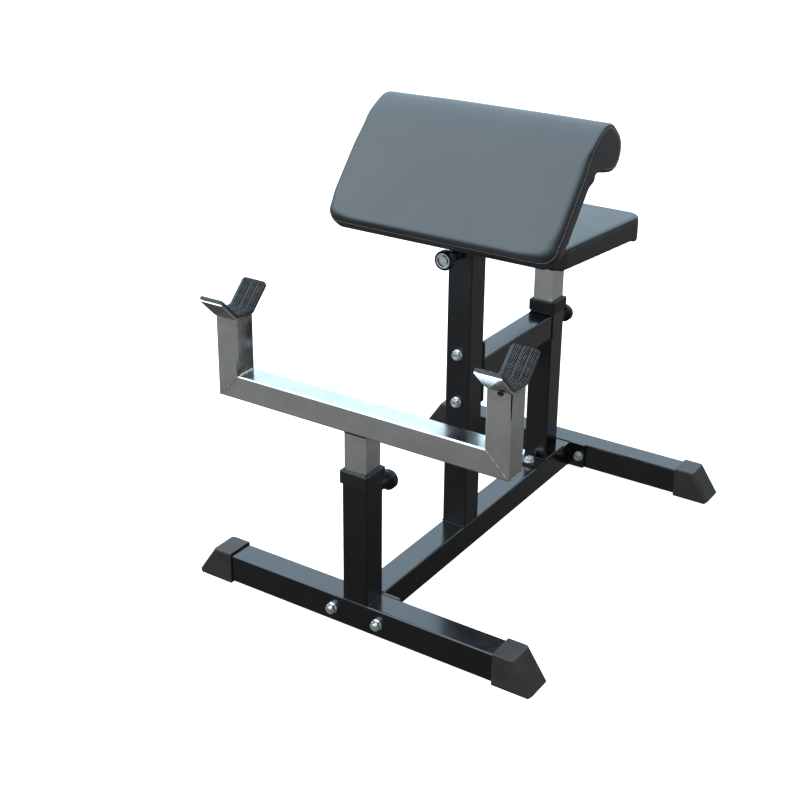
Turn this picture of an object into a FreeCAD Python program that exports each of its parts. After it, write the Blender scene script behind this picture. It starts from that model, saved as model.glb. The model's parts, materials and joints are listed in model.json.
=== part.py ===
import FreeCAD, Part
import Sketcher
import os
import re

# Preacher curl bench.  Millimetres, +Z up, X across the bench, +Y from the bar
# rack towards the seat.  The origin is on the floor under the middle of the
# bench's own box.

V = FreeCAD.Vector
ROT = FreeCAD.Rotation
doc = FreeCAD.newDocument("PreacherCurlBench")

# ---------------------------------------------------------------- dimensions
# distance of the front post from the middle of the bench, along Y
BACK = 378.16

SIZES = [
    # square tubes
    ("tube_outer", 50), ("tube_cavity", 46), ("tube_corner", 3.2),
    ("stem_outer", 45), ("stem_cavity", 41), ("stem_corner", 3.0),
    # places of the four posts and bars along Y
    ("front_y", 0 - BACK), ("upright_y", 330 - BACK),
    ("seat_post_y", 657 - BACK), ("rear_y", 777 - BACK),
    # floor frame
    ("base_axis_z", 30), ("base_top_z", 57),
    ("base_tall", 54), ("base_cavity_tall", 50),
    ("front_bar_length", 618), ("rear_bar_length", 597),
    ("beam_length", 717), ("beam_mid_y", 388.5 - BACK),
    ("bolt_hole_r", 5.4), ("flange_hole", 47.5),
    ("flange_long", 120), ("flange_wide", 50), ("flange_thick", 5),
    ("flange_corner", 3),
    ("front_flange_y", 27.5 - BACK), ("rear_flange_y", 749.5 - BACK),
    # posts
    ("front_post_height", 247), ("upright_height", 603),
    ("seat_post_base_z", 62), ("seat_post_height", 346),
    ("rack_pin_height", 196), ("pad_pin_height", 550), ("seat_pin_height", 293),
    ("upright_bolt_low", 257.5), ("upright_bolt_high", 352.5),
    ("pin_hole_r", 5.4),
    # seat beam and its plates
    ("seat_beam_length", 272), ("seat_beam_mid_y", 496 - BACK),
    ("seat_beam_z", 362), ("seat_flange_y", 357.5 - BACK),
    ("foot_plate_z", 59.5), ("seat_flange_wide", 52),
    # moulded foot caps
    ("foot_front_x", 277), ("foot_rear_x", 266.5),
    ("foot_reach_top", 39), ("foot_reach_floor", 69), ("foot_height", 61),
    ("foot_toe_out", 76), ("foot_toe_high", 6.5),
    ("foot_width", 57), ("foot_socket", 32), ("foot_corner", 7), ("foot_rim", 3),
    # collars on the posts
    ("collar_outer", 58), ("collar_height", 23), ("collar_skirt", 18),
    ("collar_guide", 45.8), ("collar_corner", 5), ("collar_rim", 2.5),
    ("rack_collar_z", 286), ("pad_collar_z", 642), ("seat_collar_z", 390),
    # bar rack
    ("rack_stem_base_z", 112), ("rack_stem_length", 267),
    ("rack_axis_z", 401.5), ("rack_length", 582), ("rack_low_z", 379),
    ("rack_upright_x", 268.5), ("rack_upright_length", 149),
    ("stem_hole_r", 5.6), ("stem_hole_pitch", 150), ("stem_hole_count", 7),
    ("rack_first_hole", 41),
    ("cradle_z", 528), ("cradle_width", 48), ("cradle_half_foot", 22.5),
    ("cradle_tip_out_y", 60.68), ("cradle_tip_out_z", 38.18),
    ("cradle_tip_in_y", 58.56), ("cradle_tip_in_z", 40.31),
    ("cradle_bend_in_y", 21.26), ("cradle_thick", 3), ("cradle_bend", 3.5),
    ("liner_width", 50), ("liner_tip_out_y", 59.95), ("liner_tip_out_z", 41.75),
    ("liner_half_foot", 21.2),
    ("liner_tip_in_y", 56.44), ("liner_tip_in_z", 45.26),
    ("liner_bend_in_y", 19.19), ("liner_top_z", 8), ("liner_corner", 9),
    # arm pad; s runs up the slope, n stands on the padded face
    ("pad_low_y", 201.3 - BACK), ("pad_low_z", 660.1), ("pad_slope", 50),
    ("pad_width", 458), ("pad_thick", 45), ("pad_reach", 283),
    ("pad_fall_start", 229.6), ("pad_fall", 26), ("pad_fall_round", 150),
    ("pad_roll_depth", 112), ("pad_roll_start", 199),
    ("pad_roll_round", 39), ("pad_roll_inner_round", 42), ("pad_corner", 29),
    ("pad_edge", 12),
    ("board_thick", 12), ("pad_board_mid", 104), ("pad_board_long", 172),
    ("pad_board_wide", 408),
    ("bracket_long", 96), ("bracket_wide", 120), ("bracket_thick", 4),
    ("bracket_mid", 141.8), ("bracket_corner", 8),
    ("bracket_bolt_x", 45), ("bracket_bolt_s", 36),
    ("pad_stem_base_z", 426), ("pad_stem_length", 350), ("pad_first_hole", 31),
    # seat
    ("seat_front", 145), ("seat_back", 147),
    ("seat_front_half", 97), ("seat_back_half", 133),
    ("seat_low_z", 525), ("seat_thick", 47), ("seat_corner", 27),
    ("seat_edge", 11),
    ("seat_board_front", 131), ("seat_board_back", 133),
    ("seat_board_front_half", 85), ("seat_board_back_half", 117),
    ("seat_board_corner", 18),
    ("seat_plate_long", 140), ("seat_plate_wide", 130), ("seat_plate_z", 521),
    ("seat_bolt_x", 48), ("seat_bolt_y", 52),
    ("seat_stem_base_z", 150), ("seat_stem_length", 371), ("seat_first_hole", 130),
    # pull pins, measured outwards from the axis of the post
    ("pin_boss_r", 11), ("pin_face", 25), ("pin_boss_end", 47),
    ("pin_boss_shoulder", 45), ("pin_boss_end_r", 9.5),
    ("pin_chamber_r", 7.2), ("pin_chamber_start", 29), ("pin_chamber_end", 44),
    ("pin_rod_hole_r", 3.4),
    ("pin_tip", 17), ("pin_tip_r", 4), ("pin_tip_end", 18.5), ("pin_r", 5),
    ("pin_collar_start", 29.4), ("pin_collar_end", 31.4), ("pin_collar_r", 6.8),
    ("pin_rod_r", 3), ("pin_rod_end", 79),
    ("knob_bore_r", 3.1), ("knob_start", 50), ("knob_neck_r", 9),
    ("knob_neck_end", 64), ("knob_neck_end_r", 10.5), ("knob_back", 70.5),
    ("knob_back_r", 16.8), ("knob_rim_start", 72), ("knob_r", 18),
    ("knob_rim_end", 82.5), ("knob_face_r", 16.5), ("knob_face", 85),
    ("knob_recess_r", 14.2), ("knob_recess", 83.2),
    ("knob_flute_r", 1.5), ("knob_flute_at", 18.8), ("knob_flutes", 20),
    ("disc_r", 13.9), ("disc_thick", 1.3), ("disc_start", 83.2),
    # springs in the pin bosses
    ("spring_wire_r", 0.4), ("spring_mean_r", 5.2), ("spring_start", 32.2),
    ("spring_end", 43.2), ("spring_turns", 2.5),
    # hex fasteners: M10 in the frame, M8 in the pads
    ("bolt_r", 5), ("bolt_head_r", 9.6), ("bolt_head_tall", 6.4),
    ("nut_hole_r", 5.05), ("nut_tall", 8), ("washer_r", 10.5), ("washer_thick", 2),
    ("bar_bolt_length", 70), ("foot_bolt_length", 21),
    ("small_bolt_r", 4), ("small_head_r", 7.4), ("small_head_tall", 5.3),
    ("small_hole_r", 4.4), ("small_washer_r", 8), ("small_washer_thick", 1.6),
    ("small_bolt_length", 22),
    ("tee_barrel_r", 5.2), ("tee_hole_r", 5.3), ("tee_bore_r", 4.05),
    ("tee_flange_r", 10), ("tee_flange_thick", 1.5), ("tee_length", 11),
    ("tee_recess_r", 10.5), ("tee_recess_deep", 7),
]

sheet = doc.addObject("Spreadsheet::Sheet", "sizes")
S = {}
for row, (word, value) in enumerate(SIZES, start=1):
    sheet.set("A%d" % row, word)
    sheet.set("B%d" % row, "%.6g" % value)
    sheet.setAlias("B%d" % row, word)
doc.recompute()
for word, _ in SIZES:
    S[word] = float(sheet.get(word))


def text_of(words):
    """An expression in the sheet's words, with the sheet's name put before each."""
    return re.sub(r"[a-z][a-z_]*", lambda m: "sizes." + m.group(0), words)


def bind(obj, prop, words):
    obj.setExpression(prop, text_of(words))


def number(words):
    """The value of one word, with an optional minus sign, or of a plain number."""
    sign = -1.0 if words.startswith("-") else 1.0
    bare = words.lstrip("-")
    return sign * (S[bare] if bare in S else float(bare))


def place(obj, x="0", y="0", z="0", rot=None):
    obj.Placement = FreeCAD.Placement(V(0, 0, 0), rot or ROT())
    for axis, words in (("x", x), ("y", y), ("z", z)):
        bind(obj, "Placement.Base." + axis, words)


# ------------------------------------------------------------ sketch helpers
def new_body(name):
    body = doc.addObject("PartDesign::Body", name)
    body.Label = name
    return body


def new_sketch(body, name, role):
    sk = body.newObject("Sketcher::SketchObject", name)
    for feature in body.Origin.OriginFeatures:
        if feature.Role == role:
            sk.AttachmentSupport = [(feature, "")]
    sk.MapMode = "FlatFace"
    return sk


def name_bind(sk, index, label, words):
    sk.renameConstraint(index, label)
    sk.setExpression("Constraints." + label, text_of(words))


def add_rect(sk, wide, tall, tag):
    """A rectangle centred on the sketch's origin."""
    w, t = number(wide) / 2, number(tall) / 2
    corners = [(-w, -t), (w, -t), (w, t), (-w, t)]
    n = sk.GeometryCount
    for i in range(4):
        a, b = corners[i], corners[(i + 1) % 4]
        sk.addGeometry(Part.LineSegment(V(a[0], a[1], 0), V(b[0], b[1], 0)), False)
    for i in range(4):
        sk.addConstraint(Sketcher.Constraint("Coincident", n + i, 2, n + (i + 1) % 4, 1))
    for i in (0, 2):
        sk.addConstraint(Sketcher.Constraint("Horizontal", n + i))
    for i in (1, 3):
        sk.addConstraint(Sketcher.Constraint("Vertical", n + i))
    sk.addConstraint(Sketcher.Constraint("Symmetric", n, 1, n + 1, 2, -1, 1))
    c = sk.addConstraint(Sketcher.Constraint("DistanceX", n, 1, n, 2, 2 * w))
    name_bind(sk, c, tag + "_wide", wide)
    c = sk.addConstraint(Sketcher.Constraint("DistanceY", n + 1, 1, n + 1, 2, 2 * t))
    name_bind(sk, c, tag + "_tall", tall)


def pin_point(sk, geo, pos, x, y, tag):
    for kind, words, axis, letter in (("DistanceX", x, -2, "x"), ("DistanceY", y, -1, "y")):
        if words == "0":
            sk.addConstraint(Sketcher.Constraint("PointOnObject", geo, pos, axis))
        else:
            c = sk.addConstraint(
                Sketcher.Constraint(kind, -1, 1, geo, pos, number(words)))
            name_bind(sk, c, tag + letter, words)


def add_poly(sk, points, tag="p"):
    """A closed outline whose corners are given in the sheet's words."""
    n = sk.GeometryCount
    values = [(number(x), number(y)) for x, y in points]
    count = len(points)
    for i in range(count):
        a, b = values[i], values[(i + 1) % count]
        sk.addGeometry(Part.LineSegment(V(a[0], a[1], 0), V(b[0], b[1], 0)), False)
    for i in range(count):
        sk.addConstraint(
            Sketcher.Constraint("Coincident", n + i, 2, n + (i + 1) % count, 1))
    for i, (x, y) in enumerate(points):
        pin_point(sk, n + i, 1, x, y, "%s%d" % (tag, i))


def add_circle(sk, x, y, r, tag):
    n = sk.GeometryCount
    sk.addGeometry(Part.Circle(V(number(x), number(y), 0), V(0, 0, 1), number(r)), False)
    if x == "0" and y == "0":
        sk.addConstraint(Sketcher.Constraint("Coincident", n, 3, -1, 1))
    else:
        pin_point(sk, n, 3, x, y, tag)
    c = sk.addConstraint(Sketcher.Constraint("Radius", n, number(r)))
    name_bind(sk, c, tag + "_r", r)


def add_pad(body, name, sk, length, middle=False, reverse=False):
    pad = body.newObject("PartDesign::Pad", name)
    pad.Profile = sk
    bind(pad, "Length", length)
    pad.Midplane = middle
    pad.Reversed = reverse
    doc.recompute()
    return pad


def add_pocket(body, name, sk, depth=None, middle=False, reverse=False):
    before = body.Shape.Volume
    pocket = body.newObject("PartDesign::Pocket", name)
    pocket.Profile = sk
    if depth is None:
        pocket.Type = "ThroughAll"
    else:
        bind(pocket, "Length", depth)
    pocket.Midplane = middle
    pocket.Reversed = reverse
    doc.recompute()
    if not body.Shape.Volume < before - 1e-3:
        raise RuntimeError(name + " removes nothing")
    return pocket


def add_fillet(body, name, feature, radius, wanted):
    names = ["Edge%d" % (i + 1) for i, e in enumerate(feature.Shape.Edges) if wanted(e)]
    if not names:
        raise RuntimeError(name + " finds no edge")
    fillet = body.newObject("PartDesign::Fillet", name)
    fillet.Base = (feature, names)
    bind(fillet, "Radius", radius)
    doc.recompute()
    return fillet


def along(edge, axis):
    """Whether a straight edge runs along an axis of its body."""
    a, b = edge.Vertexes[0].Point, edge.Vertexes[-1].Point
    d = b - a
    return d.Length > 1e-6 and abs(abs(d.dot(axis)) - d.Length) < 1e-6


def middle_of(edge):
    return edge.valueAt((edge.FirstParameter + edge.LastParameter) / 2)


X, Y, Z = V(1, 0, 0), V(0, 1, 0), V(0, 0, 1)
PLANES = {"X": ("YZ_Plane", X), "Y": ("XZ_Plane", Y), "Z": ("XY_Plane", Z)}


# ---------------------------------------------------------------- the tubes
def square_tube(name, axis, length, outer, cavity, corner, tall=None, cavity_tall=None):
    """A tube, square unless a height is given: centred along X or Y, standing on its origin along Z."""
    role, direction = PLANES[axis]
    body = new_body(name)
    sk = new_sketch(body, name + "_section", role)
    add_rect(sk, outer, tall or outer, "outer")
    add_rect(sk, cavity, cavity_tall or cavity, "cavity")
    pad = add_pad(body, name + "_run", sk, length, middle=axis != "Z")
    across, upward = {"X": (1, 2), "Y": (0, 2), "Z": (0, 1)}[axis]
    half, rise = S[outer] / 2, S[tall or outer] / 2
    add_fillet(body, name + "_corners", pad, corner,
               lambda e: along(e, direction)
               and abs(abs(middle_of(e)[across]) - half) < 1e-6
               and abs(abs(middle_of(e)[upward]) - rise) < 1e-6)
    return body


def outer_tube(name, axis, length):
    return square_tube(name, axis, length, "tube_outer", "tube_cavity", "tube_corner")


def base_tube(name, axis, length):
    """The floor frame's tube is as wide as the posts and a little taller."""
    return square_tube(name, axis, length, "tube_outer", "tube_cavity", "tube_corner",
                       "base_tall", "base_cavity_tall")


def inner_tube(name, axis, length):
    return square_tube(name, axis, length, "stem_outer", "stem_cavity", "stem_corner")


def drill(body, name, role, centres, radius, middle=True, reverse=False):
    sk = new_sketch(body, name + "_sketch", role)
    for i, (x, y) in enumerate(centres):
        add_circle(sk, x, y, radius, "c%d" % i)
    return add_pocket(body, name, sk, middle=middle, reverse=reverse), sk


front_bar = base_tube("front_cross_tube", "X", "front_bar_length")
drill(front_bar, "front_bar_bolt_holes", "XZ_Plane",
      [("flange_hole", "0"), ("-flange_hole", "0")], "bolt_hole_r")
place(front_bar, "0", "front_y", "base_axis_z")

rear_bar = base_tube("rear_cross_tube", "X", "rear_bar_length")
drill(rear_bar, "rear_bar_bolt_holes", "XZ_Plane",
      [("flange_hole", "0"), ("-flange_hole", "0")], "bolt_hole_r")
place(rear_bar, "0", "rear_y", "base_axis_z")

beam = base_tube("base_beam", "Y", "beam_length")
# the seat post's two bolts go through the beam's top wall only
sk = new_sketch(beam, "beam_top_holes_sketch", "XY_Plane")
for i, off in enumerate((-S["flange_hole"], S["flange_hole"])):
    n = sk.GeometryCount
    sk.addGeometry(Part.Circle(
        V(0, S["seat_post_y"] - S["beam_mid_y"] + off, 0), V(0, 0, 1),
        S["bolt_hole_r"]), False)
    sk.addConstraint(Sketcher.Constraint("PointOnObject", n, 3, -2))
    c = sk.addConstraint(Sketcher.Constraint(
        "DistanceY", -1, 1, n, 3, S["seat_post_y"] - S["beam_mid_y"] + off))
    name_bind(sk, c, "at%d" % i,
              "seat_post_y - beam_mid_y " + ("-" if off < 0 else "+") + " flange_hole")
    c = sk.addConstraint(Sketcher.Constraint("Radius", n, S["bolt_hole_r"]))
    name_bind(sk, c, "hole%d" % i, "bolt_hole_r")
add_pocket(beam, "beam_top_holes", sk, reverse=True)
place(beam, "0", "beam_mid_y", "base_axis_z")


def flange(name, role, wide, tall, holes):
    """A flat plate with two bolt holes, centred on its origin."""
    body = new_body(name)
    sk = new_sketch(body, name + "_outline", role)
    add_rect(sk, wide, tall, "plate")
    for i, (x, y) in enumerate(holes):
        add_circle(sk, x, y, "bolt_hole_r", "hole%d" % i)
    pad = add_pad(body, name + "_thickness", sk, "flange_thick", middle=True)
    normal = {"XZ_Plane": Y, "XY_Plane": Z}[role]
    add_fillet(body, name + "_corners", pad, "flange_corner",
               lambda e: e.Curve.TypeId == "Part::GeomLine" and along(e, normal)
               and len(e.Vertexes) == 2
               and all(f.Surface.TypeId == "Part::GeomPlane"
                       for f in pad.Shape.ancestorsOfType(e, Part.Face)))
    return body


side_holes = [("flange_hole", "0"), ("-flange_hole", "0")]
end_holes = [("0", "flange_hole"), ("0", "-flange_hole")]
plate = flange("base_front_flange", "XZ_Plane", "flange_long", "base_tall", side_holes)
place(plate, "0", "front_flange_y", "base_axis_z")
plate = flange("base_rear_flange", "XZ_Plane", "flange_long", "base_tall", side_holes)
place(plate, "0", "rear_flange_y", "base_axis_z")
plate = flange("seat_beam_flange", "XZ_Plane", "seat_flange_wide", "flange_long", end_holes)
place(plate, "0", "seat_flange_y", "seat_beam_z")
plate = flange("seat_post_foot_plate", "XY_Plane", "flange_wide", "flange_long", end_holes)
place(plate, "0", "seat_post_y", "foot_plate_z")

# posts: each has one hole for its pull pin; +Y wall, or the -Y wall of the
# main upright
post = outer_tube("front_post", "Z", "front_post_height")
drill(post, "front_post_pin_hole", "XZ_Plane", [("0", "rack_pin_height")],
      "pin_hole_r", middle=False)
place(post, "0", "front_y", "base_top_z")

upright = outer_tube("main_upright", "Z", "upright_height")
drill(upright, "upright_pin_hole", "XZ_Plane", [("0", "pad_pin_height")],
      "pin_hole_r", middle=False, reverse=True)
drill(upright, "upright_bolt_holes", "XZ_Plane",
      [("0", "upright_bolt_low"), ("0", "upright_bolt_high")], "bolt_hole_r")
place(upright, "0", "upright_y", "base_top_z")

seat_beam = outer_tube("seat_beam", "Y", "seat_beam_length")
place(seat_beam, "0", "seat_beam_mid_y", "seat_beam_z")

seat_post = outer_tube("seat_post", "Z", "seat_post_height")
drill(seat_post, "seat_post_pin_hole", "XZ_Plane", [("0", "seat_pin_height")],
      "pin_hole_r", middle=False)
place(seat_post, "0", "seat_post_y", "seat_post_base_z")


# ------------------------------------------------------------- foot caps
def foot_cap(name, x, y, turned):
    """A wedge-shaped cap, outwards along its own +X, over the end of a bar."""
    body = new_body(name)
    sk = new_sketch(body, name + "_side", "XZ_Plane")
    add_poly(sk, [("0", "0"), ("foot_reach_floor", "0"), ("foot_toe_out", "foot_toe_high"),
                  ("foot_reach_top", "foot_height"), ("0", "foot_height")])
    pad = add_pad(body, name + "_wedge", sk, "foot_width", middle=True)
    rounded = add_fillet(
        body, name + "_slope_corners", pad, "foot_corner",
        lambda e: not along(e, X) and not along(e, Y) and not along(e, Z) and e.Length > 20)
    top = S["foot_height"]
    rim = add_fillet(
        body, name + "_rim", rounded, "foot_rim",
        lambda e: abs(e.BoundBox.ZMin - top) < 1e-6 and abs(e.BoundBox.ZMax - top) < 1e-6
        and middle_of(e).x > 1e-6)
    sk = new_sketch(body, name + "_socket_sketch", "YZ_Plane")
    add_rect(sk, "tube_outer", "base_tall", "socket")
    sk.AttachmentOffset = FreeCAD.Placement(V(0, S["base_axis_z"], 0), ROT())
    sk.setExpression("AttachmentOffset.Base.y", text_of("base_axis_z"))
    add_pocket(body, name + "_socket", sk, "foot_socket", reverse=True)
    place(body, x, y, "0", ROT(Z, 180) if turned else None)
    return body


foot_cap("front_right_foot", "foot_front_x", "front_y", False)
foot_cap("front_left_foot", "-foot_front_x", "front_y", True)
foot_cap("rear_right_foot", "foot_rear_x", "rear_y", False)
foot_cap("rear_left_foot", "-foot_rear_x", "rear_y", True)


# ---------------------------------------------------------------- collars
def collar(name, y, z):
    body = new_body(name)
    sk = new_sketch(body, name + "_ring", "XY_Plane")
    add_rect(sk, "collar_outer", "collar_outer", "outer")
    add_rect(sk, "collar_guide", "collar_guide", "guide")
    pad = add_pad(body, name + "_block", sk, "collar_height")
    half, top = S["collar_outer"] / 2, S["collar_height"]
    corners = add_fillet(
        body, name + "_corners", pad, "collar_corner",
        lambda e: along(e, Z) and abs(abs(middle_of(e).x) - half) < 1e-6)
    add_fillet(
        body, name + "_rim", corners, "collar_rim",
        lambda e: abs(e.BoundBox.ZMin - top) < 1e-6
        and max(abs(middle_of(e).x), abs(middle_of(e).y)) > half - S["collar_corner"])
    sk = new_sketch(body, name + "_skirt_sketch", "XY_Plane")
    add_rect(sk, "tube_outer", "tube_outer", "skirt")
    add_pocket(body, name + "_skirt", sk, "collar_skirt", reverse=True)
    place(body, "0", y, z)
    return body


collar("rack_collar", "front_y", "rack_collar_z")
collar("pad_collar", "upright_y", "pad_collar_z")
collar("seat_collar", "seat_post_y", "seat_collar_z")


# ---------------------------------------------------------------- bar rack
def stem(name, length, first_hole, back_wall):
    """A plated stem with a row of pin holes in its +Y or -Y wall."""
    body = inner_tube(name, "Z", length)
    pocket, sk = drill(body, name + "_pin_hole", "XZ_Plane", [("0", first_hole)],
                       "stem_hole_r", middle=False, reverse=not back_wall)
    row = body.newObject("PartDesign::LinearPattern", name + "_hole_row")
    row.Originals = [pocket]
    row.Direction = (sk, ["V_Axis"])
    bind(row, "Length", "stem_hole_pitch")
    bind(row, "Occurrences", "stem_hole_count")
    body.Tip = row
    doc.recompute()
    return body


rack_stem = stem("rack_stem", "rack_stem_length", "rack_first_hole", True)
place(rack_stem, "0", "front_y", "rack_stem_base_z")


def mitre_block(name, side, keep_upright):
    """A block on one side of the 45 degree mitre at a lower corner of the rack."""
    big = 160.0
    block = doc.addObject("Part::Box", name)
    block.Length, block.Width, block.Height = big, big, big
    turn = ROT(Y, -45.0) if side > 0 else ROT(Y, -135.0)
    if keep_upright:
        turn = turn.multiply(ROT(Y, 180.0))
    corner = V(side * S["rack_length"] / 2, S["front_y"], S["rack_low_z"])
    block.Placement = FreeCAD.Placement(corner + turn.multVec(V(0, -big / 2, -big / 2)), turn)
    return block


def cut(name, base, tool):
    result = doc.addObject("Part::Cut", name)
    result.Base, result.Tool = base, tool
    result.Label = name
    doc.recompute()
    return result


bar_run = inner_tube("rack_bar_run", "X", "rack_length")
place(bar_run, "0", "front_y", "rack_axis_z")
half_cut = cut("rack_bar_half_cut", bar_run, mitre_block("mitre_right_of_bar", 1, False))
rack_bar = cut("rack_cross_tube", half_cut, mitre_block("mitre_left_of_bar", -1, False))

for side, hand in ((1, "right"), (-1, "left")):
    run = inner_tube("rack_upright_run_" + hand, "Z", "rack_upright_length")
    place(run, ("" if side > 0 else "-") + "rack_upright_x", "front_y", "rack_low_z")
    cut("rack_upright_" + hand, run, mitre_block("mitre_of_upright_" + hand, side, True))


def saddle_points(low, foot, tip_out_y, tip_out_z, tip_in_y, tip_in_z, bend_in, high):
    return [("-" + tip_out_y, tip_out_z), ("-" + foot, low), (foot, low),
            (tip_out_y, tip_out_z), (tip_in_y, tip_in_z), (bend_in, high),
            ("-" + bend_in, high), ("-" + tip_in_y, tip_in_z)]


for side, hand in ((1, "right"), (-1, "left")):
    x = ("" if side > 0 else "-") + "rack_upright_x"
    body = new_body("rack_cradle_" + hand)
    sk = new_sketch(body, "cradle_section_" + hand, "YZ_Plane")
    add_poly(sk, saddle_points("0", "cradle_half_foot", "cradle_tip_out_y",
                               "cradle_tip_out_z", "cradle_tip_in_y",
                               "cradle_tip_in_z", "cradle_bend_in_y", "cradle_thick"))
    pad = add_pad(body, "cradle_run_" + hand, sk, "cradle_width", middle=True)
    add_fillet(body, "cradle_bends_" + hand, pad, "cradle_bend",
               lambda e: along(e, X) and abs(middle_of(e).z) < 1e-6)
    place(body, x, "front_y", "cradle_z")

    body = new_body("rack_liner_" + hand)
    sk = new_sketch(body, "liner_section_" + hand, "YZ_Plane")
    add_poly(sk, saddle_points("cradle_thick", "liner_half_foot", "liner_tip_out_y",
                               "liner_tip_out_z", "liner_tip_in_y",
                               "liner_tip_in_z", "liner_bend_in_y", "liner_top_z"))
    pad = add_pad(body, "liner_run_" + hand, sk, "liner_width", middle=True)
    add_fillet(body, "liner_corners_" + hand, pad, "liner_corner",
               lambda e: not along(e, X) and middle_of(e).z > S["cradle_tip_in_z"]
               and abs(e.Length - 5) < 0.2)
    place(body, x, "front_y", "cradle_z")


# ---------------------------------------------------------------- arm pad
PAD_TURN = ROT(X, S["pad_slope"])


def on_slope(obj):
    place(obj, "0", "pad_low_y", "pad_low_z", PAD_TURN)


arm_pad = new_body("arm_pad")
sk = new_sketch(arm_pad, "arm_pad_side", "YZ_Plane")
add_poly(sk, [("0", "0"), ("pad_fall_start", "0"), ("pad_reach", "-pad_fall"),
              ("pad_reach", "-pad_roll_depth"),
              ("pad_roll_start", "-pad_roll_depth"), ("pad_roll_start", "-pad_thick"),
              ("0", "-pad_thick")])
pad = add_pad(arm_pad, "arm_pad_run", sk, "pad_width", middle=True)
reach, deep, start = S["pad_reach"], S["pad_roll_depth"], S["pad_roll_start"]
fall = S["pad_fall_start"]
roll = add_fillet(arm_pad, "arm_pad_fall", pad, "pad_fall_round",
                  lambda e: along(e, X) and abs(middle_of(e).y - fall) < 1e-6)
roll = add_fillet(arm_pad, "arm_pad_roll", roll, "pad_roll_round",
                  lambda e: along(e, X) and abs(middle_of(e).y - reach) < 1e-6)
roll = add_fillet(arm_pad, "arm_pad_roll_inside", roll, "pad_roll_inner_round",
                  lambda e: along(e, X) and abs(middle_of(e).y - start) < 1e-6
                  and abs(middle_of(e).z + deep) < 1e-6)
roll = add_fillet(arm_pad, "arm_pad_low_corners", roll, "pad_corner",
                  lambda e: along(e, Z) and abs(middle_of(e).y) < 1e-6)
roll = add_fillet(arm_pad, "arm_pad_low_edge", roll, "pad_edge",
                  lambda e: along(e, X) and abs(middle_of(e).y) < 1e-6)
# the foam is let in for the board and, above it, for the tee nuts
sk = new_sketch(arm_pad, "arm_pad_board_room_sketch", "XY_Plane")
add_rect(sk, "pad_board_wide", "pad_board_long", "room")
sk.AttachmentOffset = FreeCAD.Placement(V(0, S["pad_board_mid"], -S["pad_thick"]), ROT())
sk.setExpression("AttachmentOffset.Base.y", text_of("pad_board_mid"))
sk.setExpression("AttachmentOffset.Base.z", text_of("-pad_thick"))
add_pocket(arm_pad, "arm_pad_board_room", sk, "board_thick", reverse=True)


def four_circles(sk, x, mid, off, radius):
    """Four circles around a point on the sketch's vertical axis."""
    for i, (sx, sy) in enumerate(((1, 1), (-1, 1), (1, -1), (-1, -1))):
        middle = S[mid] if mid else 0.0
        n = sk.GeometryCount
        sk.addGeometry(Part.Circle(V(sx * S[x], middle + sy * S[off], 0), V(0, 0, 1),
                                   S[radius]), False)
        c = sk.addConstraint(Sketcher.Constraint("DistanceX", -1, 1, n, 3, sx * S[x]))
        name_bind(sk, c, "fx%d" % i, ("" if sx > 0 else "-") + x)
        c = sk.addConstraint(Sketcher.Constraint("DistanceY", -1, 1, n, 3,
                                                 middle + sy * S[off]))
        name_bind(sk, c, "fy%d" % i,
                  (mid + " " if mid else "") + ("+ " if sy > 0 else "- ") + off
                  if mid else ("" if sy > 0 else "-") + off)
        c = sk.addConstraint(Sketcher.Constraint("Radius", n, S[radius]))
        name_bind(sk, c, "fr%d" % i, radius)


sk = new_sketch(arm_pad, "arm_pad_tee_room_sketch", "XY_Plane")
four_circles(sk, "bracket_bolt_x", "bracket_mid", "bracket_bolt_s", "tee_recess_r")
sk.AttachmentOffset = FreeCAD.Placement(V(0, 0, S["board_thick"] - S["pad_thick"]), ROT())
sk.setExpression("AttachmentOffset.Base.z", text_of("board_thick - pad_thick"))
add_pocket(arm_pad, "arm_pad_tee_room", sk, "tee_recess_deep", reverse=True)
on_slope(arm_pad)


def flat_piece(name, outline, thick, low, holes, hole_r, corner):
    """A flat board or plate in its own XY plane, from a given height upwards."""
    body = new_body(name)
    sk = new_sketch(body, name + "_outline", "XY_Plane")
    outline(sk)
    sk.AttachmentOffset = FreeCAD.Placement(V(0, 0, low[0]), ROT())
    sk.setExpression("AttachmentOffset.Base.z", text_of(low[1]))
    pad = add_pad(body, name + "_thickness", sk, thick)
    add_fillet(body, name + "_corners", pad, corner,
               lambda e: along(e, Z) and len(e.Vertexes) == 2)
    if holes:
        sk = new_sketch(body, name + "_holes_sketch", "XY_Plane")
        four_circles(sk, *holes, hole_r)
        add_pocket(body, name + "_holes", sk, middle=True)
    return body


def slope_rect(wide, long, mid):
    def outline(sk):
        half = S[wide] / 2
        a, b = S[mid] - S[long] / 2, S[mid] + S[long] / 2
        corners = [(-half, a), (half, a), (half, b), (-half, b)]
        for i in range(4):
            p, q = corners[i], corners[(i + 1) % 4]
            sk.addGeometry(Part.LineSegment(V(p[0], p[1], 0), V(q[0], q[1], 0)), False)
        for i in range(4):
            sk.addConstraint(Sketcher.Constraint("Coincident", i, 2, (i + 1) % 4, 1))
        for i, (side, end) in enumerate((("-", "-"), ("", "-"), ("", "+"), ("-", "+"))):
            c = sk.addConstraint(
                Sketcher.Constraint("DistanceX", -1, 1, i, 1, corners[i][0]))
            name_bind(sk, c, "wide%d" % i, side + wide + " / 2")
            c = sk.addConstraint(
                Sketcher.Constraint("DistanceY", -1, 1, i, 1, corners[i][1]))
            name_bind(sk, c, "long%d" % i, "%s %s %s / 2" % (mid, end, long))
    return outline


pad_board = flat_piece("arm_pad_board", slope_rect("pad_board_wide", "pad_board_long",
                                                   "pad_board_mid"),
                       "board_thick", (-S["pad_thick"], "-pad_thick"),
                       ("bracket_bolt_x", "bracket_mid", "bracket_bolt_s"),
                       "tee_hole_r", "bracket_corner")
on_slope(pad_board)

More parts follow.
